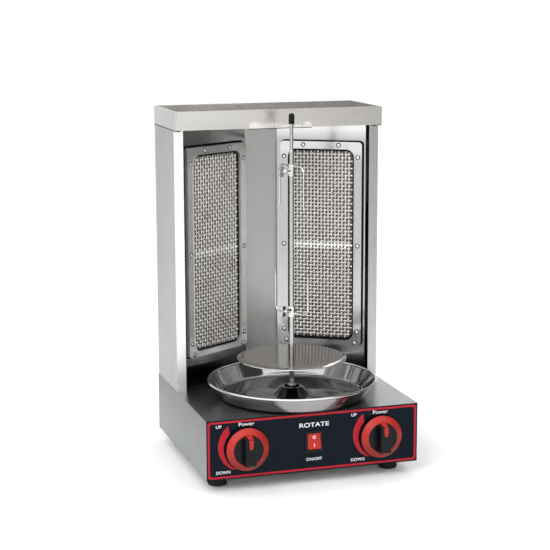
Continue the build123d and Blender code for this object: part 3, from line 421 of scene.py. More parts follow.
# colour, metallic, roughness from and to, grain, bump, tint, then other settings by name
PLAIN_SURFACES = {
    "casing_steel": ((0.58, 0.575, 0.57), 1.0, (0.28, 0.36), BRUSHED_ALONG, 0.03, 0.02, {}),
    "casing_upright": ((0.42, 0.415, 0.41), 1.0, (0.28, 0.36), BRUSHED_UPRIGHT, 0.03, 0.02, {}),
    "bracket_sheet": ((0.84, 0.83, 0.81), 0.8, (0.2, 0.28), FINE, 0.03, 0.02, {}),
    "polished_steel": ((0.74, 0.74, 0.73), 1.0, (0.10, 0.16), FINE, 0.03, 0.02, {"smudge": 0.03}),
    "chromed_steel": ((0.75, 0.75, 0.76), 1.0, (0.10, 0.18), VERY_FINE, 0.05, 0.03, {}),
    "burner_steel": ((0.40, 0.38, 0.36), 1.0, (0.4, 0.55), (90, 90, 90), 0.1, 0.15, {}),
    "gas_pipe_steel": (STEEL, 1.0, (0.3, 0.45), (200, 200, 200), 0.1, 0.1, {}),
    "machined_steel": (STEEL, 1.0, (0.2, 0.3), (100, 100, 1500), 0.15, 0.06, {}),
    "cast_aluminium": ((0.55, 0.55, 0.56), 1.0, (0.45, 0.6), FINE, 0.4, 0.08, {}),
    "brass": ((0.72, 0.50, 0.20), 1.0, (0.22, 0.35), (400, 400, 400), 0.1, 0.1, {}),
    "motor_paint": ((0.30, 0.33, 0.35), 0.3, (0.35, 0.5), (700, 700, 700), 0.2, 0.06, {}),
    # Plain black for the pieces that stand in for shade in gaps and round screws.
    "shade_black": ((0.006, 0.006, 0.008), 0.0, (0.7, 0.85), VERY_FINE, 0.3, 0.2, {"shine": 0.1}),
    "panel_print": ((0.0022, 0.0055, 0.0115), 0.0, (0.16, 0.22), VERY_FINE, 0.02, 0.1,
                    {"smudge": 0.03, "shine": 0.10}),
    "red_print": ((0.39, 0.015, 0.027), 0.0, (0.2, 0.3), VERY_FINE, 0.03, 0.06, {"shine": 0.12}),
    "white_print": ((0.80, 0.80, 0.80), 0.0, (0.3, 0.4), VERY_FINE, 0.03, 0.03, {"shine": 0.2}),
    "black_rubber": ((0.010, 0.010, 0.012), 0.0, (0.6, 0.75), VERY_FINE, 0.3, 0.25, {"shine": 0.25}),
    "black_plastic": ((0.0025, 0.0035, 0.0050), 0.0, (0.22, 0.32), (1400, 1400, 1400), 0.15, 0.15,
                      {"shine": 0.20}),
    "gland_nylon": ((0.02, 0.02, 0.02), 0.0, (0.45, 0.6), VERY_FINE, 0.2, 0.2, {}),
    "terminal_ceramic": ((0.75, 0.72, 0.66), 0.0, (0.5, 0.65), (500, 500, 500), 0.2, 0.06, {}),
}


def make_materials():
    materials = {name: surface(name, *recipe[:-1], **recipe[-1]) for name, recipe in PLAIN_SURFACES.items()}
    materials["base_sheet"] = base_surface()
    materials["tray_sheet"] = tray_surface()
    materials["rod_steel"] = rod_surface()
    materials["disc_steel"] = disc_surface()
    materials["pan_steel"] = pan_surface()
    materials["burner_ceramic"] = ceramic_surface()
    materials["red_plastic"] = red_surface()
    # Painted light: the left panel's front flange is coloured near white and the right one grey, as lit and
    # shaded copies of one sheet.
    for name, front in (("left_panel_sheet", (0.93, 0.93, 0.93, 1)),
                        ("right_panel_sheet", (0.53, 0.53, 0.525, 1))):
        materials[name] = panel_surface(name, front)
    # Painted light: the left frame is coloured lighter with a darker upper edge, the right frame darker
    # with a lighter upper edge, as lit and shaded copies of one steel.
    for name, recipe in (("left_frame_steel", ((0.66, 0.66, 0.65), 0.60, (0.50, 0.50, 0.49, 1))),
                         ("right_frame_steel", ((0.50, 0.50, 0.495), 1.0, (0.72, 0.72, 0.71, 1)))):
        materials[name] = frame_surface(name, *recipe)
    # Painted light: the left reflector gets little shade beside the burner and much near the base, the
    # right one the other way round, as lit and shaded copies of one sheet.
    for name, recipe in (("left_reflector_steel", (0.90, 0.20)), ("right_reflector_steel", (0.60, 0.85))):
        materials[name] = reflector_surface(name, *recipe)
    # Painted light: the left wire is coloured lighter and the right wire darker, as lit and shaded copies
    # of one wire.
    for name, color in (("left_wire", (0.80, 0.78, 0.76)), ("right_wire", (0.62, 0.605, 0.59))):
        materials[name] = wire_surface(name, color)
    return materials


# ---- mesh building ------------------------------------------------------------------
def attach(piece, node, material, replace=True):
    """The piece rides with a CAD node's body, takes the given material and may stand for it."""
    piece.data.materials.clear()
    piece.data.materials.append(material)
    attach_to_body(piece, BODY_OF[node])
    if replace:
        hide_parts(node)
    return piece


def object_from(name, work, sharp=30.0, weighted=True):
    """A piece from a bmesh, smooth except along edges sharper than the angle."""
    mesh = bpy.data.meshes.new(name)
    bmesh.ops.recalc_face_normals(work, faces=work.faces)
    work.to_mesh(mesh)
    work.free()
    for polygon in mesh.polygons:
        polygon.use_smooth = True
    mesh.set_sharp_from_angle(angle=radians(sharp))
    piece = placed(name, mesh)
    if weighted:
        weight = piece.modifiers.new("weighted", "WEIGHTED_NORMAL")
        weight.keep_sharp = True
    return piece


def show(name, work, node, material, sharp=30.0, weighted=True, replace=False):
    """A piece from a bmesh, attached to a CAD node with a named material."""
    return attach(object_from(name, work, sharp, weighted), node, MATERIALS[material], replace)


def copy_of(node):
    """A bmesh of a CAD node with its split corners merged and flat faces made whole."""
    work = bmesh.new()
    work.from_mesh(NODES[node].data)
    bmesh.ops.remove_doubles(work, verts=work.verts, dist=0.002 * MM)
    bmesh.ops.dissolve_limit(work, angle_limit=radians(0.15), verts=work.verts, edges=work.edges)
    return work


def refined(node, material, bevel=0.35, angle=28.0, segments=2):
    """The CAD node's own shape with rounded edges, as a new piece."""
    work = copy_of(node)
    edges = [e for e in work.edges if len(e.link_faces) == 2 and e.calc_face_angle() > radians(angle)]
    if bevel:
        bmesh.ops.bevel(work, geom=edges, offset=bevel * MM, segments=segments, profile=0.5, affect="EDGES",
                        clamp_overlap=True)
    return attach(object_from(node + "_shown", work), node, material)


def arc(centre, radius, start, end, steps):
    """Points on an arc in a plane, angles in degrees."""
    points = []
    for i in range(steps + 1):
        angle = radians(start + (end - start) * i / steps)
        points.append((centre[0] + radius * cos(angle), centre[1] + radius * sin(angle)))
    return points


def lathe(work, profile, at, segments=96):
    """Turns a profile of (radius, height) in millimetres about +Z of the placing matrix."""
    rings = []
    for i in range(segments):
        turn = 2 * pi * i / segments
        rings.append([work.verts.new(at @ Vector((r * MM * cos(turn), r * MM * sin(turn), z * MM)))
                      for r, z in profile])
    for i in range(segments):
        here, after = rings[i], rings[(i + 1) % segments]
        for j in range(len(profile)):
            k = (j + 1) % len(profile)
            work.faces.new((here[j], after[j], after[k], here[k]))
    bmesh.ops.remove_doubles(work, verts=[v for ring in rings for v in ring], dist=0.001 * MM)


def bent(points, radius, steps=8):
    """A path of straight runs in millimetres with its corners rounded."""
    points = [Vector(p) for p in points]
    path = [points[0]]
    for before, corner, after in zip(points, points[1:], points[2:]):
        back, on = (before - corner).normalized(), (after - corner).normalized()
        half = back.angle(on) / 2
        reach = radius / tan(half)
        centre = corner + (back + on).normalized() * (radius / sin(half))
        first, last = corner + back * reach - centre, corner + on * reach - centre
        sweep_angle = first.angle(last)
        for i in range(steps + 1):
            share = i / steps
            mixed = first * sin((1 - share) * sweep_angle) + last * sin(share * sweep_angle)
            path.append(centre + mixed / sin(sweep_angle))
    path.append(points[-1])
    return path


def bridge(work, first, second):
    """Faces between two closed loops with the same number of points."""
    for i in range(len(first)):
        k = (i + 1) % len(first)
        work.faces.new((first[i], first[k], second[k], second[i]))


def skin(work, loops):
    """A closed body over successive loops."""
    for here, after in zip(loops, loops[1:]):
        bridge(work, here, after)
    work.faces.new(list(reversed(loops[0])))
    work.faces.new(loops[-1])


def outline_at(work, outline, at, height):
    """A loop of vertices on an outline in the matrix's XY plane, in millimetres."""
    return [work.verts.new(at @ Vector((x * MM, y * MM, height * MM))) for x, y in outline]


def tube(work, path, radius, sides=12, at=Matrix.Identity(4)):
    """A round wire along a path in millimetres, with closed ends."""
    path = [Vector(p) for p in path]
    normal = None
    rings = []
    for i, point in enumerate(path):
        ahead = (path[min(i + 1, len(path) - 1)] - path[max(i - 1, 0)]).normalized()
        if normal is None:
            normal = ahead.orthogonal().normalized()
        normal = (normal - ahead * normal.dot(ahead)).normalized()
        side = ahead.cross(normal)
        ring = []
        for j in range(sides):
            turn = 2 * pi * j / sides
            spot = point + (normal * cos(turn) + side * sin(turn)) * radius
            ring.append(work.verts.new(at @ (spot * MM)))
        rings.append(ring)
    skin(work, rings)


def solid_outline(work, outline, at, low, high):
    """A plate with any outline in the matrix's XY plane, between two heights in millimetres."""
    below, above = (outline_at(work, outline, at, height) for height in (low, high))
    work.faces.new(list(reversed(below)))
    work.faces.new(above)
    bridge(work, below, above)


def ring_plate(work, outer, inner, at, low, high):
    """A flat ring between two outlines with the same number of points."""
    outer_low, outer_high = (outline_at(work, outer, at, height) for height in (low, high))
    inner_low, inner_high = (outline_at(work, inner, at, height) for height in (low, high))
    around = (outer_low, outer_high, inner_high, inner_low, outer_low)
    for first, second in zip(around, around[1:]):
        bridge(work, first, second)


def rounded_rectangle(width, height, radius, steps=8):
    """Corner-rounded rectangle outline about the origin."""
    points = []
    corners = ((1, 1, 0), (-1, 1, 90), (-1, -1, 180), (1, -1, 270))
    for sx, sy, start in corners:
        centre = (sx * (width / 2 - radius), sy * (height / 2 - radius))
        points += arc(centre, radius, start, start + 90, steps)
    return points


# ---- places read from the frame -----------------------------------------------------
def middle(node):
    low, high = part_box(node)
    return (low + high) / 2


def node_radius(node):
    """Half a round node's width, in millimetres."""
    low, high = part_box(node)
    return (high.x - low.x) / 2 / MM


def heights(node):
    low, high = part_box(node)
    return low.z / MM, high.z / MM


SPIT_X, SPIT_Y = middle("spit_rod").x, middle("spit_rod").y
PAN_CENTRE_RISE = 0.0024    # middle of the pan's raised centre above its underside
FACE_OUT = Matrix.Rotation(radians(90), 4, "X")         # turns +Z towards the front


def on_spit(height=0.0):
    return Matrix.Translation((SPIT_X, SPIT_Y, height * MM))


def upright_frame(node):
    """Matrix of an upright plate: origin at its front face's middle, +X along it, +Y behind it."""
    areas = {}
    for polygon in NODES[node].data.polygons:
        if polygon.normal.y < -0.3 and abs(polygon.normal.z) < 0.1:
            key = tuple(round(c, 2) for c in polygon.normal)
            areas.setdefault(key, [0.0, polygon.normal.copy()])[0] += polygon.area
    behind = -max(areas.values(), key=lambda pair: pair[0])[1]
    behind = Vector((behind.x, behind.y, 0)).normalized()
    across_plate = behind.cross(Vector((0, 0, 1)))
    spots = [v.co for v in NODES[node].data.vertices]
    across = [p.dot(across_plate) for p in spots]
    heights_of = [p.z for p in spots]
    front = min(p.dot(behind) for p in spots)
    origin = across_plate * (max(across) + min(across)) / 2 + behind * front
    origin.z = (max(heights_of) + min(heights_of)) / 2
    matrix = Matrix((across_plate, behind, Vector((0, 0, 1)))).transposed().to_4x4()
    return Matrix.Translation(origin) @ matrix


def local_box(node, matrix):
    """Lowest and highest corner of a node in a matrix's own axes, in millimetres."""
    inverse = matrix.inverted()
    spots = [inverse @ v.co for v in NODES[node].data.vertices]
    low = Vector([min(p[i] for p in spots) for i in range(3)]) / MM
    high = Vector([max(p[i] for p in spots) for i in range(3)]) / MM
    return low, high


def islands(node):
    """Boxes of the separate solids in a node."""
    work = copy_of(node)
    left = set(work.verts)
    found = []
    while left:
        stack = [left.pop()]
        group = []
        while stack:
            vert = stack.pop()
            group.append(vert.co.copy())
            for edge in vert.link_edges:
                other = edge.other_vert(vert)
                if other in left:
                    left.remove(other)
                    stack.append(other)
        low = Vector([min(p[i] for p in group) for i in range(3)])
        high = Vector([max(p[i] for p in group) for i in range(3)])
        found.append((low, high))
    work.free()
    return sorted(found, key=lambda pair: tuple(round(c, 5) for c in pair[0]))


def shifted(matrix, x=0.0, y=0.0, z=0.0):
    """The matrix moved along its own axes, in millimetres."""
    return matrix @ Matrix.Translation(Vector((x, y, z)) * MM)


# ---- burners ------------------------------------------------------------------------
MESH_PITCH = 5.1
MESH_INSET = 2.6            # from the mesh node's outline to the middles of its outer wires
MESH_CORNER = 11.0
MESH_DIP = 4.0              # width of the border where the mesh bends back
MESH_BULGE = 0.5
WIRE_R = 0.95
WIRE_SPREAD = {"left": 1.2, "right": 1.6}        # how much wider than deep the pressed wires are
FRAME_FACE = 0.7            # frame's flat face behind the front of its raised lip
WINDOW_WIDTH, WINDOW_HEIGHT, WINDOW_CORNER = 97.4, 280.0, 12.0


def weave_wire(work, matrix, start, end, index, depth, flatness):
    """A flattened wire that passes over and under the crossing wires in turn."""
    upright = start[0] == end[0]
    length = end[1] - start[1] if upright else end[0] - start[0]
    steps = max(8, round(length / MESH_PITCH * 4))
    sign = (1 if index % 2 else -1) * (1 if upright else -1)
    wide = Vector((1, 0, 0)) if upright else Vector((0, 0, 1))
    path = []
    for i in range(steps + 1):
        x = (end[0] - start[0]) * i / steps
        z = (end[1] - start[1]) * i / steps
        run = depth.from_middle(start[0] + x, start[1] + z)[1 if upright else 0]
        wave = sign * cos(pi * run / MESH_PITCH) * WIRE_R * 0.95
        path.append((x, depth(start[0] + x, start[1] + z) + wave, z))
    at = shifted(matrix, x=start[0], z=start[1])
    tube(work, path, WIRE_R, sides=8, at=at @ Matrix.Scale(flatness, 4, wide))


class MeshDish:
    """The shallow dish that the woven wire follows, in its burner frame's own millimetres."""

    def __init__(self, low, high):
        self.half = ((high.x - low.x) / 2 - MESH_INSET, (high.z - low.z) / 2 - MESH_INSET)
        self.middle = ((high.x + low.x) / 2, (high.z + low.z) / 2)
        self.front = low.y + 2 * WIRE_R
        self.back = high.y - 2 * WIRE_R + 1.2

    def from_middle(self, x, z):
        return x - self.middle[0], z - self.middle[1]

    def __call__(self, x, z):
        dx, dz = (abs(offset) for offset in self.from_middle(x, z))
        edge = max(dx - self.half[0] + MESH_DIP, dz - self.half[1] + MESH_DIP, 0.0) / MESH_DIP
        bulge = MESH_BULGE * (1 - min(1, dx / self.half[0]) ** 2)
        return self.front + (self.back - self.front) * min(1.0, edge) ** 2 + 0.4 - bulge

    def reach(self, offset, across):
        """How far a wire at this offset runs inside the rounded outline."""
        other_half = self.half[1 - across]
        over = abs(offset) - (self.half[across] - MESH_CORNER)
        if over <= 0:
            return other_half
        return other_half - MESH_CORNER + max(0.0, MESH_CORNER ** 2 - over ** 2) ** 0.5


def woven_mesh(side):
    """Plain woven wire that bulges slightly and dips behind the frame's lip at its edges."""
    node = side + "_burner_mesh"
    matrix = upright_frame(side + "_burner_frame")
    dish = MeshDish(*local_box(node, matrix))
    cx, cz = dish.middle
    work = bmesh.new()
    for across in (0, 1):
        count = int(dish.half[across] / MESH_PITCH)
        for i in range(-count, count + 1):
            offset = i * MESH_PITCH
            run = dish.reach(offset, across)
            if across == 0:
                start, end = (cx + offset, cz - run), (cx + offset, cz + run)
            else:
                start, end = (cx - run, cz + offset), (cx + run, cz + offset)
            weave_wire(work, matrix, start, end, i, dish, WIRE_SPREAD[side])
    show(side + "_woven_wire", work, node, side + "_wire", 60, weighted=False, replace=True)


def painted_shade_rings(side):
    """Painted shade: black rings, one in the gap round the mesh, one where the frame's skirt meets the
    reflector.
    """
    frame_node = side + "_burner_frame"
    matrix = upright_frame(frame_node)
    low, high = local_box(side + "_burner_mesh", matrix)
    ring_width = 3.3
    work = bmesh.new()
    outer = rounded_rectangle(WINDOW_WIDTH + 0.6, WINDOW_HEIGHT + 0.6, WINDOW_CORNER)
    inner = rounded_rectangle(WINDOW_WIDTH + 0.6 - 2 * ring_width, WINDOW_HEIGHT + 0.6 - 2 * ring_width,
                              WINDOW_CORNER - 3.0)
    window = shifted(matrix, z=(low.z + high.z) / 2) @ FACE_OUT
    ring_plate(work, outer, inner, window, -high.y - 0.05, -high.y + 0.5)
    low, high = local_box(frame_node, matrix)
    width, height = high.x - low.x, high.z - low.z
    spill = 4.4 if side == "left" else 2.8
    outer = rounded_rectangle(width + spill, height + spill, 6.2)
    inner = rounded_rectangle(width - 0.4, height - 0.4, 4.8)
    ring_plate(work, outer, inner, matrix @ FACE_OUT, -high.y, -high.y + 2.0)
    show(side + "_burner_shade_rings", work, frame_node, "shade_black")


def plaque_gasket(side):
    """The pale fibre strip between the two plaques."""
    matrix = upright_frame(side + "_burner_frame")
    low, high = local_box(side + "_burner_plaques", matrix)
    strip = 4.0
    work = bmesh.new()
    outline = rounded_rectangle(WINDOW_WIDTH - 8, strip, 0.8, 3)
    at = shifted(matrix, z=(low.z + high.z) / 2) @ FACE_OUT
    solid_outline(work, outline, at, -(low.y + 0.2), -(low.y - 0.4))
    show(side + "_plaque_gasket", work, side + "_burner_plaques", "white_print")


SCREW_HEAD_R = 2.6
SCREW_HEAD_HEIGHT = 1.7
SCREW_SHANK_R = 1.35


def cross_head_screw(radius, height):
    """A round head with a cross recess, its underside at the origin, in millimetres."""
    work = bmesh.new()
    rim = 0.35
    dome = []
    for degrees_down in (15, 30, 45, 60, 75, 90):
        turn = radians(degrees_down)
        dome.append((radius * sin(turn), height * (rim + (1 - rim) * cos(turn))))
    lathe(work, [(0, height)] + dome + [(radius, 0), (0, 0)], Matrix.Identity(4), 28)
    head = object_from("screw_blank", work, weighted=False)
    length, width, deep = radius * 1.15, radius * 0.26, height * 0.55
    for long_x, long_y in ((length, width), (width, length)):
        work = bmesh.new()
        outline = [(-long_x / 2, -long_y / 2), (long_x / 2, -long_y / 2), (long_x / 2, long_y / 2),
                   (-long_x / 2, long_y / 2)]
        solid_outline(work, outline, Matrix.Identity(4), height - deep, height * 1.5)
        cutter = object_from("screw_cutter", work, weighted=False)
        cut = head.modifiers.new("recess", "BOOLEAN")
        cut.operation = "DIFFERENCE"
        cut.object = cutter
        bpy.context.view_layer.objects.active = head
        bpy.ops.object.modifier_apply(modifier=cut.name)
        bpy.data.objects.remove(cutter)
    mesh = head.data
    bpy.data.objects.remove(head)
    return mesh


def add_mesh(work, mesh, matrix):
    """Adds a transformed copy of a mesh to a bmesh."""
    copy = mesh.copy()
    copy.transform(matrix)
    work.from_mesh(copy)
    bpy.data.meshes.remove(copy)


def screw_places():
    """A matrix on the frame's face for each burner screw, +Z pointing out."""
    frames = {name: upright_frame(name + "_burner_frame") for name in SIDES}
    places = []
    for low, high in islands("burner_screws"):
        spot = (low + high) / 2
        matrix = frames["left" if spot.x < 0 else "right"]
        local = matrix.inverted() @ spot / MM
        places.append(shifted(matrix, local.x, FRAME_FACE, local.z) @ FACE_OUT)
    return places


def burner_screw_heads():
    """Detailed heads on every burner screw, each turned a little differently."""
    head = cross_head_screw(SCREW_HEAD_R, SCREW_HEAD_HEIGHT)
    turned_by = 37.0
    work = bmesh.new()
    for number, place in enumerate(screw_places()):
        place = place @ Matrix.Rotation(radians(number * turned_by), 4, "Z")
        add_mesh(work, head, place)
        tube(work, [(0, 0, -0.1), (0, 0, -12.0)], SCREW_SHANK_R, 10, place)
    show("burner_screws_detailed", work, "burner_screws", "chromed_steel", weighted=False, replace=True)


def burner_screw_shade_rings():
    """Painted shade: a black ring round every burner screw."""
    inner_r, outer_r, thick = 2.3, 3.4, 0.3
    work = bmesh.new()
    for place in screw_places():
        lathe(work, [(inner_r, 0), (outer_r, 0), (outer_r, thick), (inner_r, thick)], place, 28)
    show("burner_screw_shade_rings", work, "burner_screws", "shade_black", weighted=False)


# ---- spit ---------------------------------------------------------------------------
def turned_piece(node, profile, material, at=None, segments=96, sharp=30):
    work = bmesh.new()
    lathe(work, profile, at or on_spit(), segments)
    show(node + "_shown", work, node, material, sharp, weighted=False, replace=True)


ROD_NECK_R = 2.3
ROD_NECK_FROM = 443.0
CAP_R = 4.0
CAP_BORE_R = 2.35
CAP_DOME = 3.6
DISC_RIM = 7.0              # width of the disc's sloping rim
DISC_DROP = 2.0             # how far the rim slopes down
DISC_EDGE = 1.4
DISC_THICK = 1.5
DISC_HUB_R = 9.0
DISC_BORE_R = 3.2


def spit_rod():
    low, high = heights("spit_rod")
    radius, chamfer = node_radius("spit_rod"), 0.5
    foot = [(0, low), (radius - chamfer, low), (radius, low + chamfer)]
    shoulder = [(radius, ROD_NECK_FROM - 0.4), (radius - 0.3, ROD_NECK_FROM),
                (ROD_NECK_R + 0.1, ROD_NECK_FROM + 0.8), (ROD_NECK_R, ROD_NECK_FROM + 1.1)]
    profile = foot + shoulder + [(ROD_NECK_R, high), (0, high)]
    turned_piece("spit_rod", profile, "rod_steel", segments=40)


def spit_cap():
    low, high = heights("spit_cap")
    dome = []
    for degrees_up in range(0, 91, 10):
        turn = radians(degrees_up)
        dome.append((CAP_R * cos(turn), high - CAP_DOME + CAP_DOME * sin(turn)))
    foot = [(CAP_BORE_R, low), (CAP_R - 0.4, low), (CAP_R, low + 0.4)]
    profile = foot + dome + [(0, high - 2), (CAP_BORE_R, high - 4)]
    turned_piece("spit_cap", profile, "black_plastic", segments=40)


def meat_disc():
    low, high = heights("meat_disc")
    radius = node_radius("meat_disc")
    flat_r, under_r = radius - DISC_RIM, radius - DISC_EDGE
    flat = [(DISC_BORE_R, high), (flat_r - 0.6, high), (flat_r, high - 0.05), (flat_r + 0.6, high - 0.22)]
    rim = arc((radius - 0.6, high - DISC_DROP - 0.6), 0.6, 74, 0, 5)
    rim += arc((radius - 0.5, high - DISC_DROP - DISC_EDGE + 0.5), 0.5, 0, -90, 4)
    under = [(under_r, high - DISC_DROP - DISC_EDGE), (flat_r, high - DISC_THICK)]
    hub = [(DISC_HUB_R + 0.4, high - DISC_THICK), (DISC_HUB_R, high - 2.2), (DISC_HUB_R, low + 0.5),
           (DISC_HUB_R - 0.5, low), (DISC_BORE_R, low)]
    profile = flat + rim + under + hub
    turned_piece("meat_disc", profile, "disc_steel", segments=180, sharp=50)


# ---- drip pan -----------------------------------------------------------------------
def sheet_sides(path, thick):
    """Both sides of a bent sheet whose middle line is given in the XZ plane, in millimetres."""
    under, over = [], []
    for i, point in enumerate(path):
        ahead = path[min(i + 1, len(path) - 1)] - path[max(i - 1, 0)]
        normal = Vector((-ahead.z, 0, ahead.x)).normalized() * thick / 2
        under.append((point.x - normal.x, point.z - normal.z))
        over.append((point.x + normal.x, point.z + normal.z))
    return under, over


PAN_THICK = 0.9
PAN_ROLL_R = 1.7            # radius of the rolled rim
PAN_FLOOR_R = 101.0
PAN_MID_R = 60.0            # where the floor's inner and outer halves join
PAN_HUMP_R = 26.0
PAN_HOLE_R = 11.0
PAN_HUMP_TOP = 113.5


def drip_pan():
    """Spun dish with a rounded foot, a rolled rim and a raised, holed centre."""
    low, high = heights("drip_pan")
    floor = low + PAN_THICK / 2
    hump = bent([(PAN_HOLE_R, 0, PAN_HUMP_TOP), (PAN_HOLE_R + 4, 0, PAN_HUMP_TOP), (PAN_HUMP_R, 0, floor),
                 (PAN_MID_R, 0, floor)], 2.5)
    centre = Vector((node_radius("drip_pan") - PAN_ROLL_R, 0, high - PAN_ROLL_R))
    wall = bent([(PAN_MID_R, 0, floor), (PAN_FLOOR_R, 0, floor), centre], 8.0)
    wall[-1] = centre - (centre - wall[-2]).normalized() * (PAN_ROLL_R - 0.1)
    under, over = sheet_sides(hump[:-1] + wall[1:], PAN_THICK)
    rim = arc((centre.x, centre.z), PAN_ROLL_R, -110.2, 219.1, 22)
    profile = under + rim + over[::-1]
    turned_piece("drip_pan", profile, "pan_steel", segments=240, sharp=50)


# ---- control panel ------------------------------------------------------------------
PANEL_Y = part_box("control_panel_label")[0].y
PRINT = 0.08                # thickness of printed marks, millimetres
SUNK = -0.02                # how deep they start, so that no gap shows


def on_panel(x, z):
    """Matrix on the panel's face: +X to the right, +Y up, +Z out of the panel."""
    return Matrix.Translation((x * MM, PANEL_Y, z * MM)) @ FACE_OUT


def mark(name, work, material):
    show(name, work, "control_panel_label", material, weighted=False)


def panel_border():
    low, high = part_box("control_panel_label")
    width, height = (high.x - low.x) / MM, (high.z - low.z) / MM
    inset, line, corner = 1.9, 2.9, 4.2
    work = bmesh.new()
    outer = rounded_rectangle(width - 2 * inset, height - 2 * inset, corner)
    inner_inset = inset + line
    inner = rounded_rectangle(width - 2 * inner_inset, height - 2 * inner_inset, corner - 1.2)
    centre = middle("control_panel_label")
    ring_plate(work, outer, inner, on_panel(centre.x / MM, centre.z / MM), SUNK, PRINT)
    mark("panel_border", work, "red_print")


def legend_mesh(text, matrix, width, cap_height):
    """A plain printed word fitted to a width and a capital height, in millimetres."""
    curve = bpy.data.curves.new("legend", "FONT")
    curve.body = text
    curve.extrude = 0.02
    curve.offset = 0.008
    source = placed("legend", curve)
    bpy.context.view_layer.update()
    mesh = bpy.data.meshes.new_from_object(source)
    bpy.data.objects.remove(source)
    xs = [v.co.x for v in mesh.vertices]
    ys = [v.co.y for v in mesh.vertices]
    scale_x = width * MM / (max(xs) - min(xs))
    scale_y = cap_height * MM / (max(ys) - min(ys))
    for vert in mesh.vertices:
        x = (vert.co.x - (max(xs) + min(xs)) / 2) * scale_x
        y = (vert.co.y - (max(ys) + min(ys)) / 2) * scale_y
        vert.co = Vector((x, y, PRINT * MM if vert.co.z > 0 else SUNK * MM))
    mesh.transform(matrix)
    return mesh


def panel_legends():
    """Generic operating words beside the knobs and the switch."""
    work = bmesh.new()
    # word, its middle on the panel, its width and its capital height
    words = [("ROTATE", 0.3, 84.0, 42.0, 6.0), ("ON/OFF", 0.2, 36.0, 22.5, 3.9)]
    for side in SIDES:
        x = middle(side + "_knob_skirt").x / MM
        words += [("UP", x - 37.8, 92.4, 7.6, 4.2), ("Power", x + 0.5, 93.4, 21.5, 5.0),
                  ("DOWN", x - 32.0, 29.2, 19.5, 4.2)]
    for text, x, z, width, cap in words:
        add_mesh(work, legend_mesh(text, on_panel(x, z), width, cap), Matrix.Identity(4))
    show("panel_legends", work, "control_panel_label", "white_print", weighted=False)


CRESCENT_INNER_R = 31.0
CRESCENT_OUTER_R = 41.0
CRESCENT_TAPER = 8.0        # how far the outer edge comes in towards the lower tip
CRESCENT_UPPER_TIP = 127    # angles from the panel's +X, in degrees
CRESCENT_INNER_TIP = 137
CRESCENT_LOWER_TIP = 240


def crescent(side):
    """Tapered red crescent beside a knob."""
    centre = middle(side + "_knob_skirt") / MM
    work = bmesh.new()
    steps = 28
    outer = []
    for i in range(steps + 1):
        share = i / steps
        angle = radians(CRESCENT_UPPER_TIP + (CRESCENT_LOWER_TIP - CRESCENT_UPPER_TIP) * share)
        outer_r = CRESCENT_OUTER_R - CRESCENT_TAPER * share ** 1.6
        outer.append((outer_r * cos(angle), outer_r * sin(angle)))
    inner = arc((0, 0), CRESCENT_INNER_R, CRESCENT_INNER_TIP, CRESCENT_LOWER_TIP, steps)
    solid_outline(work, outer + inner[::-1], on_panel(centre.x, centre.z), SUNK, PRINT)
    mark(side + "_crescent", work, "red_print")


ROCKER_TILT = 8             # degrees that the rocker's top leans in, at rest
ROCKER_PIVOT_DEPTH = 3.0    # behind the panel's face
ROCKER_FACE = 4.9           # middle of each half face in front of the pivot
ROCKER_HALF = 10.8          # height of each half face
ROCKER_LEAN = 1.4           # how much further out a half face is at its end


def rocker_marks():
    """The off ring on the rocker's upper face and the on bar on its lower face."""
    pivot = Matrix.Translation((0, PANEL_Y + ROCKER_PIVOT_DEPTH * MM, middle("switch_bezel").z))
    pivot = pivot @ Matrix.Rotation(radians(-ROCKER_TILT), 4, "X")
    work = bmesh.new()
    for half in (1, -1):
        across = Vector((1, 0, 0))
        up = Vector((0, -ROCKER_LEAN * half, ROCKER_HALF)).normalized()
        face = Matrix((across, up, across.cross(up))).transposed().to_4x4()
        at = shifted(pivot, y=-ROCKER_FACE, z=half * ROCKER_HALF / 2) @ face
        if half > 0:
            ring_plate(work, arc((0, 0), 2.3, 0, 350, 27), arc((0, 0), 1.5, 0, 350, 27), at, SUNK, PRINT)
        else:
            solid_outline(work, rounded_rectangle(0.9, 4.6, 0.3, 2), at, SUNK, PRINT)
    show("rocker_marks", work, "rocker_button", "white_print", weighted=False)


def knob_skirt(side, at):
    """Conical red skirt with a rounded edge and a bore for the black centre."""
    node = side + "_knob_skirt"
    outer_r, bore_r = node_radius(node), node_radius(side + "_knob_grip") + 0.05
    low = (PANEL_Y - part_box(node)[1].y) / MM
    high = (PANEL_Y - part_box(node)[0].y) / MM
    profile = [(outer_r - 2.2, low), (outer_r - 0.5, low)] + arc((outer_r - 0.6, low + 0.6), 0.6, -90, 0, 4)
    profile += arc((outer_r - 0.9, low + 1.5), 0.9, 0, 48, 5)
    profile += [(bore_r + 1.55, high - 0.35), (bore_r + 0.85, high), (bore_r + 0.1, high - 0.1),
                (bore_r, high - 0.7), (bore_r, low + 3.0)]
    turned_piece(node, profile, "red_plastic", at, 128, 40)
    return high


def knob_grip(side):
    """The black grip, drawn in slightly so that its pointer stands proud."""
    node = side + "_knob_grip"
    piece = refined(node, MATERIALS["black_plastic"], bevel=0.5, angle=35, segments=3)
    reach = (PANEL_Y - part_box(node)[0].y) / MM
    pointer_proud = 0.25
    for vert in piece.data.vertices:
        vert.co.y = PANEL_Y + (vert.co.y - PANEL_Y) * (1 - pointer_proud / reach)
    return reach


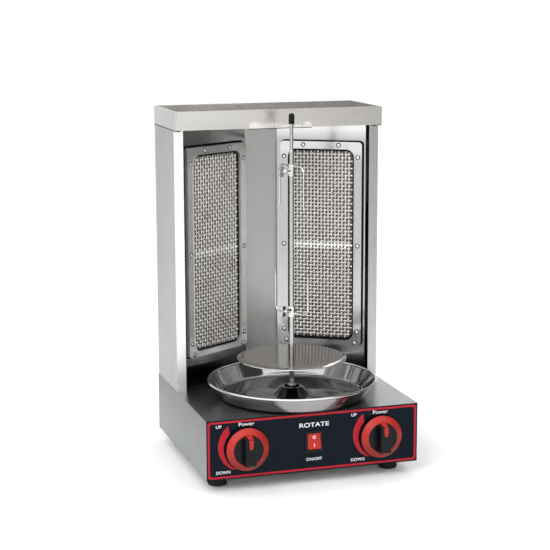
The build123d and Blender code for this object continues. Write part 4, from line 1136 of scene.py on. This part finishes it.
def knob_pointer(side, at, reach, skirt_top):
    """Red strip along the grip's face, over its upper end and down to the skirt."""
    # distance up the bar, height off the panel, half width
    line = [(4.6, reach, 1.0), (5.1, reach, 1.7), (6.0, reach, 2.2), (8.0, reach, 2.5), (12.0, reach, 2.8),
            (16.6, reach, 3.1), (18.1, reach - 0.5, 3.3), (18.8, reach - 1.6, 3.4),
            (20.6, skirt_top - 0.1, 3.6)]
    thick = 0.8
    work = bmesh.new()
    rows = []
    for i, (up, height, half) in enumerate(line):
        before, after = line[max(i - 1, 0)], line[min(i + 1, len(line) - 1)]
        tangent = Vector((0, after[0] - before[0], after[1] - before[1])).normalized()
        inward = Vector((0, tangent.z, -tangent.y)) * thick
        row = []
        for x, deep in ((-half, 0), (half, 0), (half, 1), (-half, 1)):
            row.append(work.verts.new(at @ ((Vector((x, up, height)) + inward * deep) * MM)))
        rows.append(row)
    skin(work, rows)
    pointer = object_from(side + "_knob_pointer", work, sharp=40)
    pointer.data.materials.append(MATERIALS["red_plastic"])
    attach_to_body(pointer, BODY_OF[side + "_knob_grip"])


def knob(side):
    centre = middle(side + "_knob_skirt")
    at = on_panel(centre.x / MM, centre.z / MM)
    skirt_top = knob_skirt(side, at)
    reach = knob_grip(side)
    crescent(side)
    knob_pointer(side, at, reach, skirt_top)


# ---- small casing details -----------------------------------------------------------
SEAM_DEPTH = 1.3            # how far the painted shade in the seam shows under the tray
SEAM_WIDTH = 3.0
POST_SHADOW_X = 143.0              # the painted shadows over the posts, either side
POST_SHADOW_R = 4.6
POST_FRONT = 20.9
WELD_X = 1.5                # the folded corner's bright line, from the tray's left side
WELD_R = 0.55


def box_between(work, low, high):
    outline = [(low[0], low[1]), (high[0], low[1]), (high[0], high[1]), (low[0], high[1])]
    solid_outline(work, outline, Matrix.Identity(4), low[2], high[2])


def tray_shade_marks():
    """Painted shade: dark lines under the tray and its bracket, beside the corner fold, and painted shadows
    over the posts.
    """
    low, high = (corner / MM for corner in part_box("top_tray"))
    work = bmesh.new()
    for x in (low.x + 0.12, high.x - SEAM_WIDTH):
        end = (x + SEAM_WIDTH - 0.12, high.y - 0.5, low.z + 0.1)
        box_between(work, (x, low.y + 2.0, low.z - SEAM_DEPTH), end)
    for side in SIDES.values():
        at = Matrix.Translation(Vector((side * POST_SHADOW_X, POST_FRONT, low.z)) * MM) @ FACE_OUT
        solid_outline(work, [(x, 0.62 * y) for x, y in arc((0, 0), POST_SHADOW_R, 180, 360, 14)], at, -0.5, 0.6)
    fold_x = low.x + 2.6
    box_between(work, (fold_x, low.y + 0.03, high.z - 14), (fold_x + 0.4, low.y + 0.3, high.z - 2))
    bracket_low, bracket_high = (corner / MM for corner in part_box("spit_bracket"))
    half = (bracket_high.x - bracket_low.x) / 2 + 0.2
    bottom, top = bracket_low.z - 1.0, low.z + 1
    edge = [(-half, bottom), (half, bottom), (half, top), (-half, top)]
    solid_outline(work, edge, FACE_OUT, -(low.y - 0.02), -(low.y - 0.4))
    show("tray_painted_shade", work, "top_tray", "shade_black")


def tray_weld():
    low, high = (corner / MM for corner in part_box("top_tray"))
    x = low.x + WELD_X
    work = bmesh.new()
    tube(work, [(x, low.y, high.z - 12.5), (x, low.y, high.z - 2.2)], WELD_R, 10)
    show("tray_corner_weld", work, "top_tray", "chromed_steel", weighted=False)


# ---- everything together ------------------------------------------------------------
def assign(node, material):
    """Gives a CAD node that is shown as it is its material."""
    data = NODES[node].data
    data.materials.clear()
    data.materials.append(MATERIALS[material])


make_camera()
MATERIALS = make_materials()
make_studio()

# CAD nodes shown as their own shape with rounded edges: material and edge radius
REFINED = {
    "base_shell": ("base_sheet", 0.5), "base_front_plate": ("casing_steel", 0.2),
    "control_panel_label": ("panel_print", 0.12), "top_tray": ("tray_sheet", 0.5),
    "left_side_panel": ("left_panel_sheet", 0.4), "right_side_panel": ("right_panel_sheet", 0.4),
    "centre_panel": ("casing_upright", 0.2), "back_panel": ("casing_upright", 0.2),
    "left_reflector": ("left_reflector_steel", 0.2), "right_reflector": ("right_reflector_steel", 0.2),
    "left_burner_frame": ("left_frame_steel", 0.4), "right_burner_frame": ("right_frame_steel", 0.4),
    "left_burner_plaques": ("burner_ceramic", 0.3), "right_burner_plaques": ("burner_ceramic", 0.3),
    "spit_bracket": ("bracket_sheet", 0.3), "upper_fork": ("polished_steel", 0.15),
    "lower_fork": ("polished_steel", 0.15), "upper_wing_screw": ("chromed_steel", 0.3),
    "lower_wing_screw": ("chromed_steel", 0.3), "drive_coupling": ("chromed_steel", 0.2),
    "switch_bezel": ("black_plastic", 0.3), "rocker_button": ("red_plastic", 0.4),
    "rubber_feet": ("black_rubber", 0.6), "shaft_bush": ("brass", 0.2),
    "gas_inlet_fitting": ("brass", 0.25), "cable_gland": ("gland_nylon", 0.3),
    "gas_injectors": ("brass", 0.25), "case_screws": ("chromed_steel", 0.15),
    "left_gas_pipe": ("gas_pipe_steel", 0.0), "right_gas_pipe": ("gas_pipe_steel", 0.0),
}
for node, (material, bevel) in REFINED.items():
    refined(node, MATERIALS[material], bevel)
for name in SIDES:
    woven_mesh(name)
    plaque_gasket(name)
    painted_shade_rings(name)
    knob(name)
burner_screw_heads()
burner_screw_shade_rings()
spit_rod()
spit_cap()
meat_disc()
drip_pan()
panel_border()
panel_legends()
rocker_marks()
tray_shade_marks()
tray_weld()
for node in sorted(NODES):
    if not NODES[node].hide_render:
        assign(node, SLOT_OF[node])
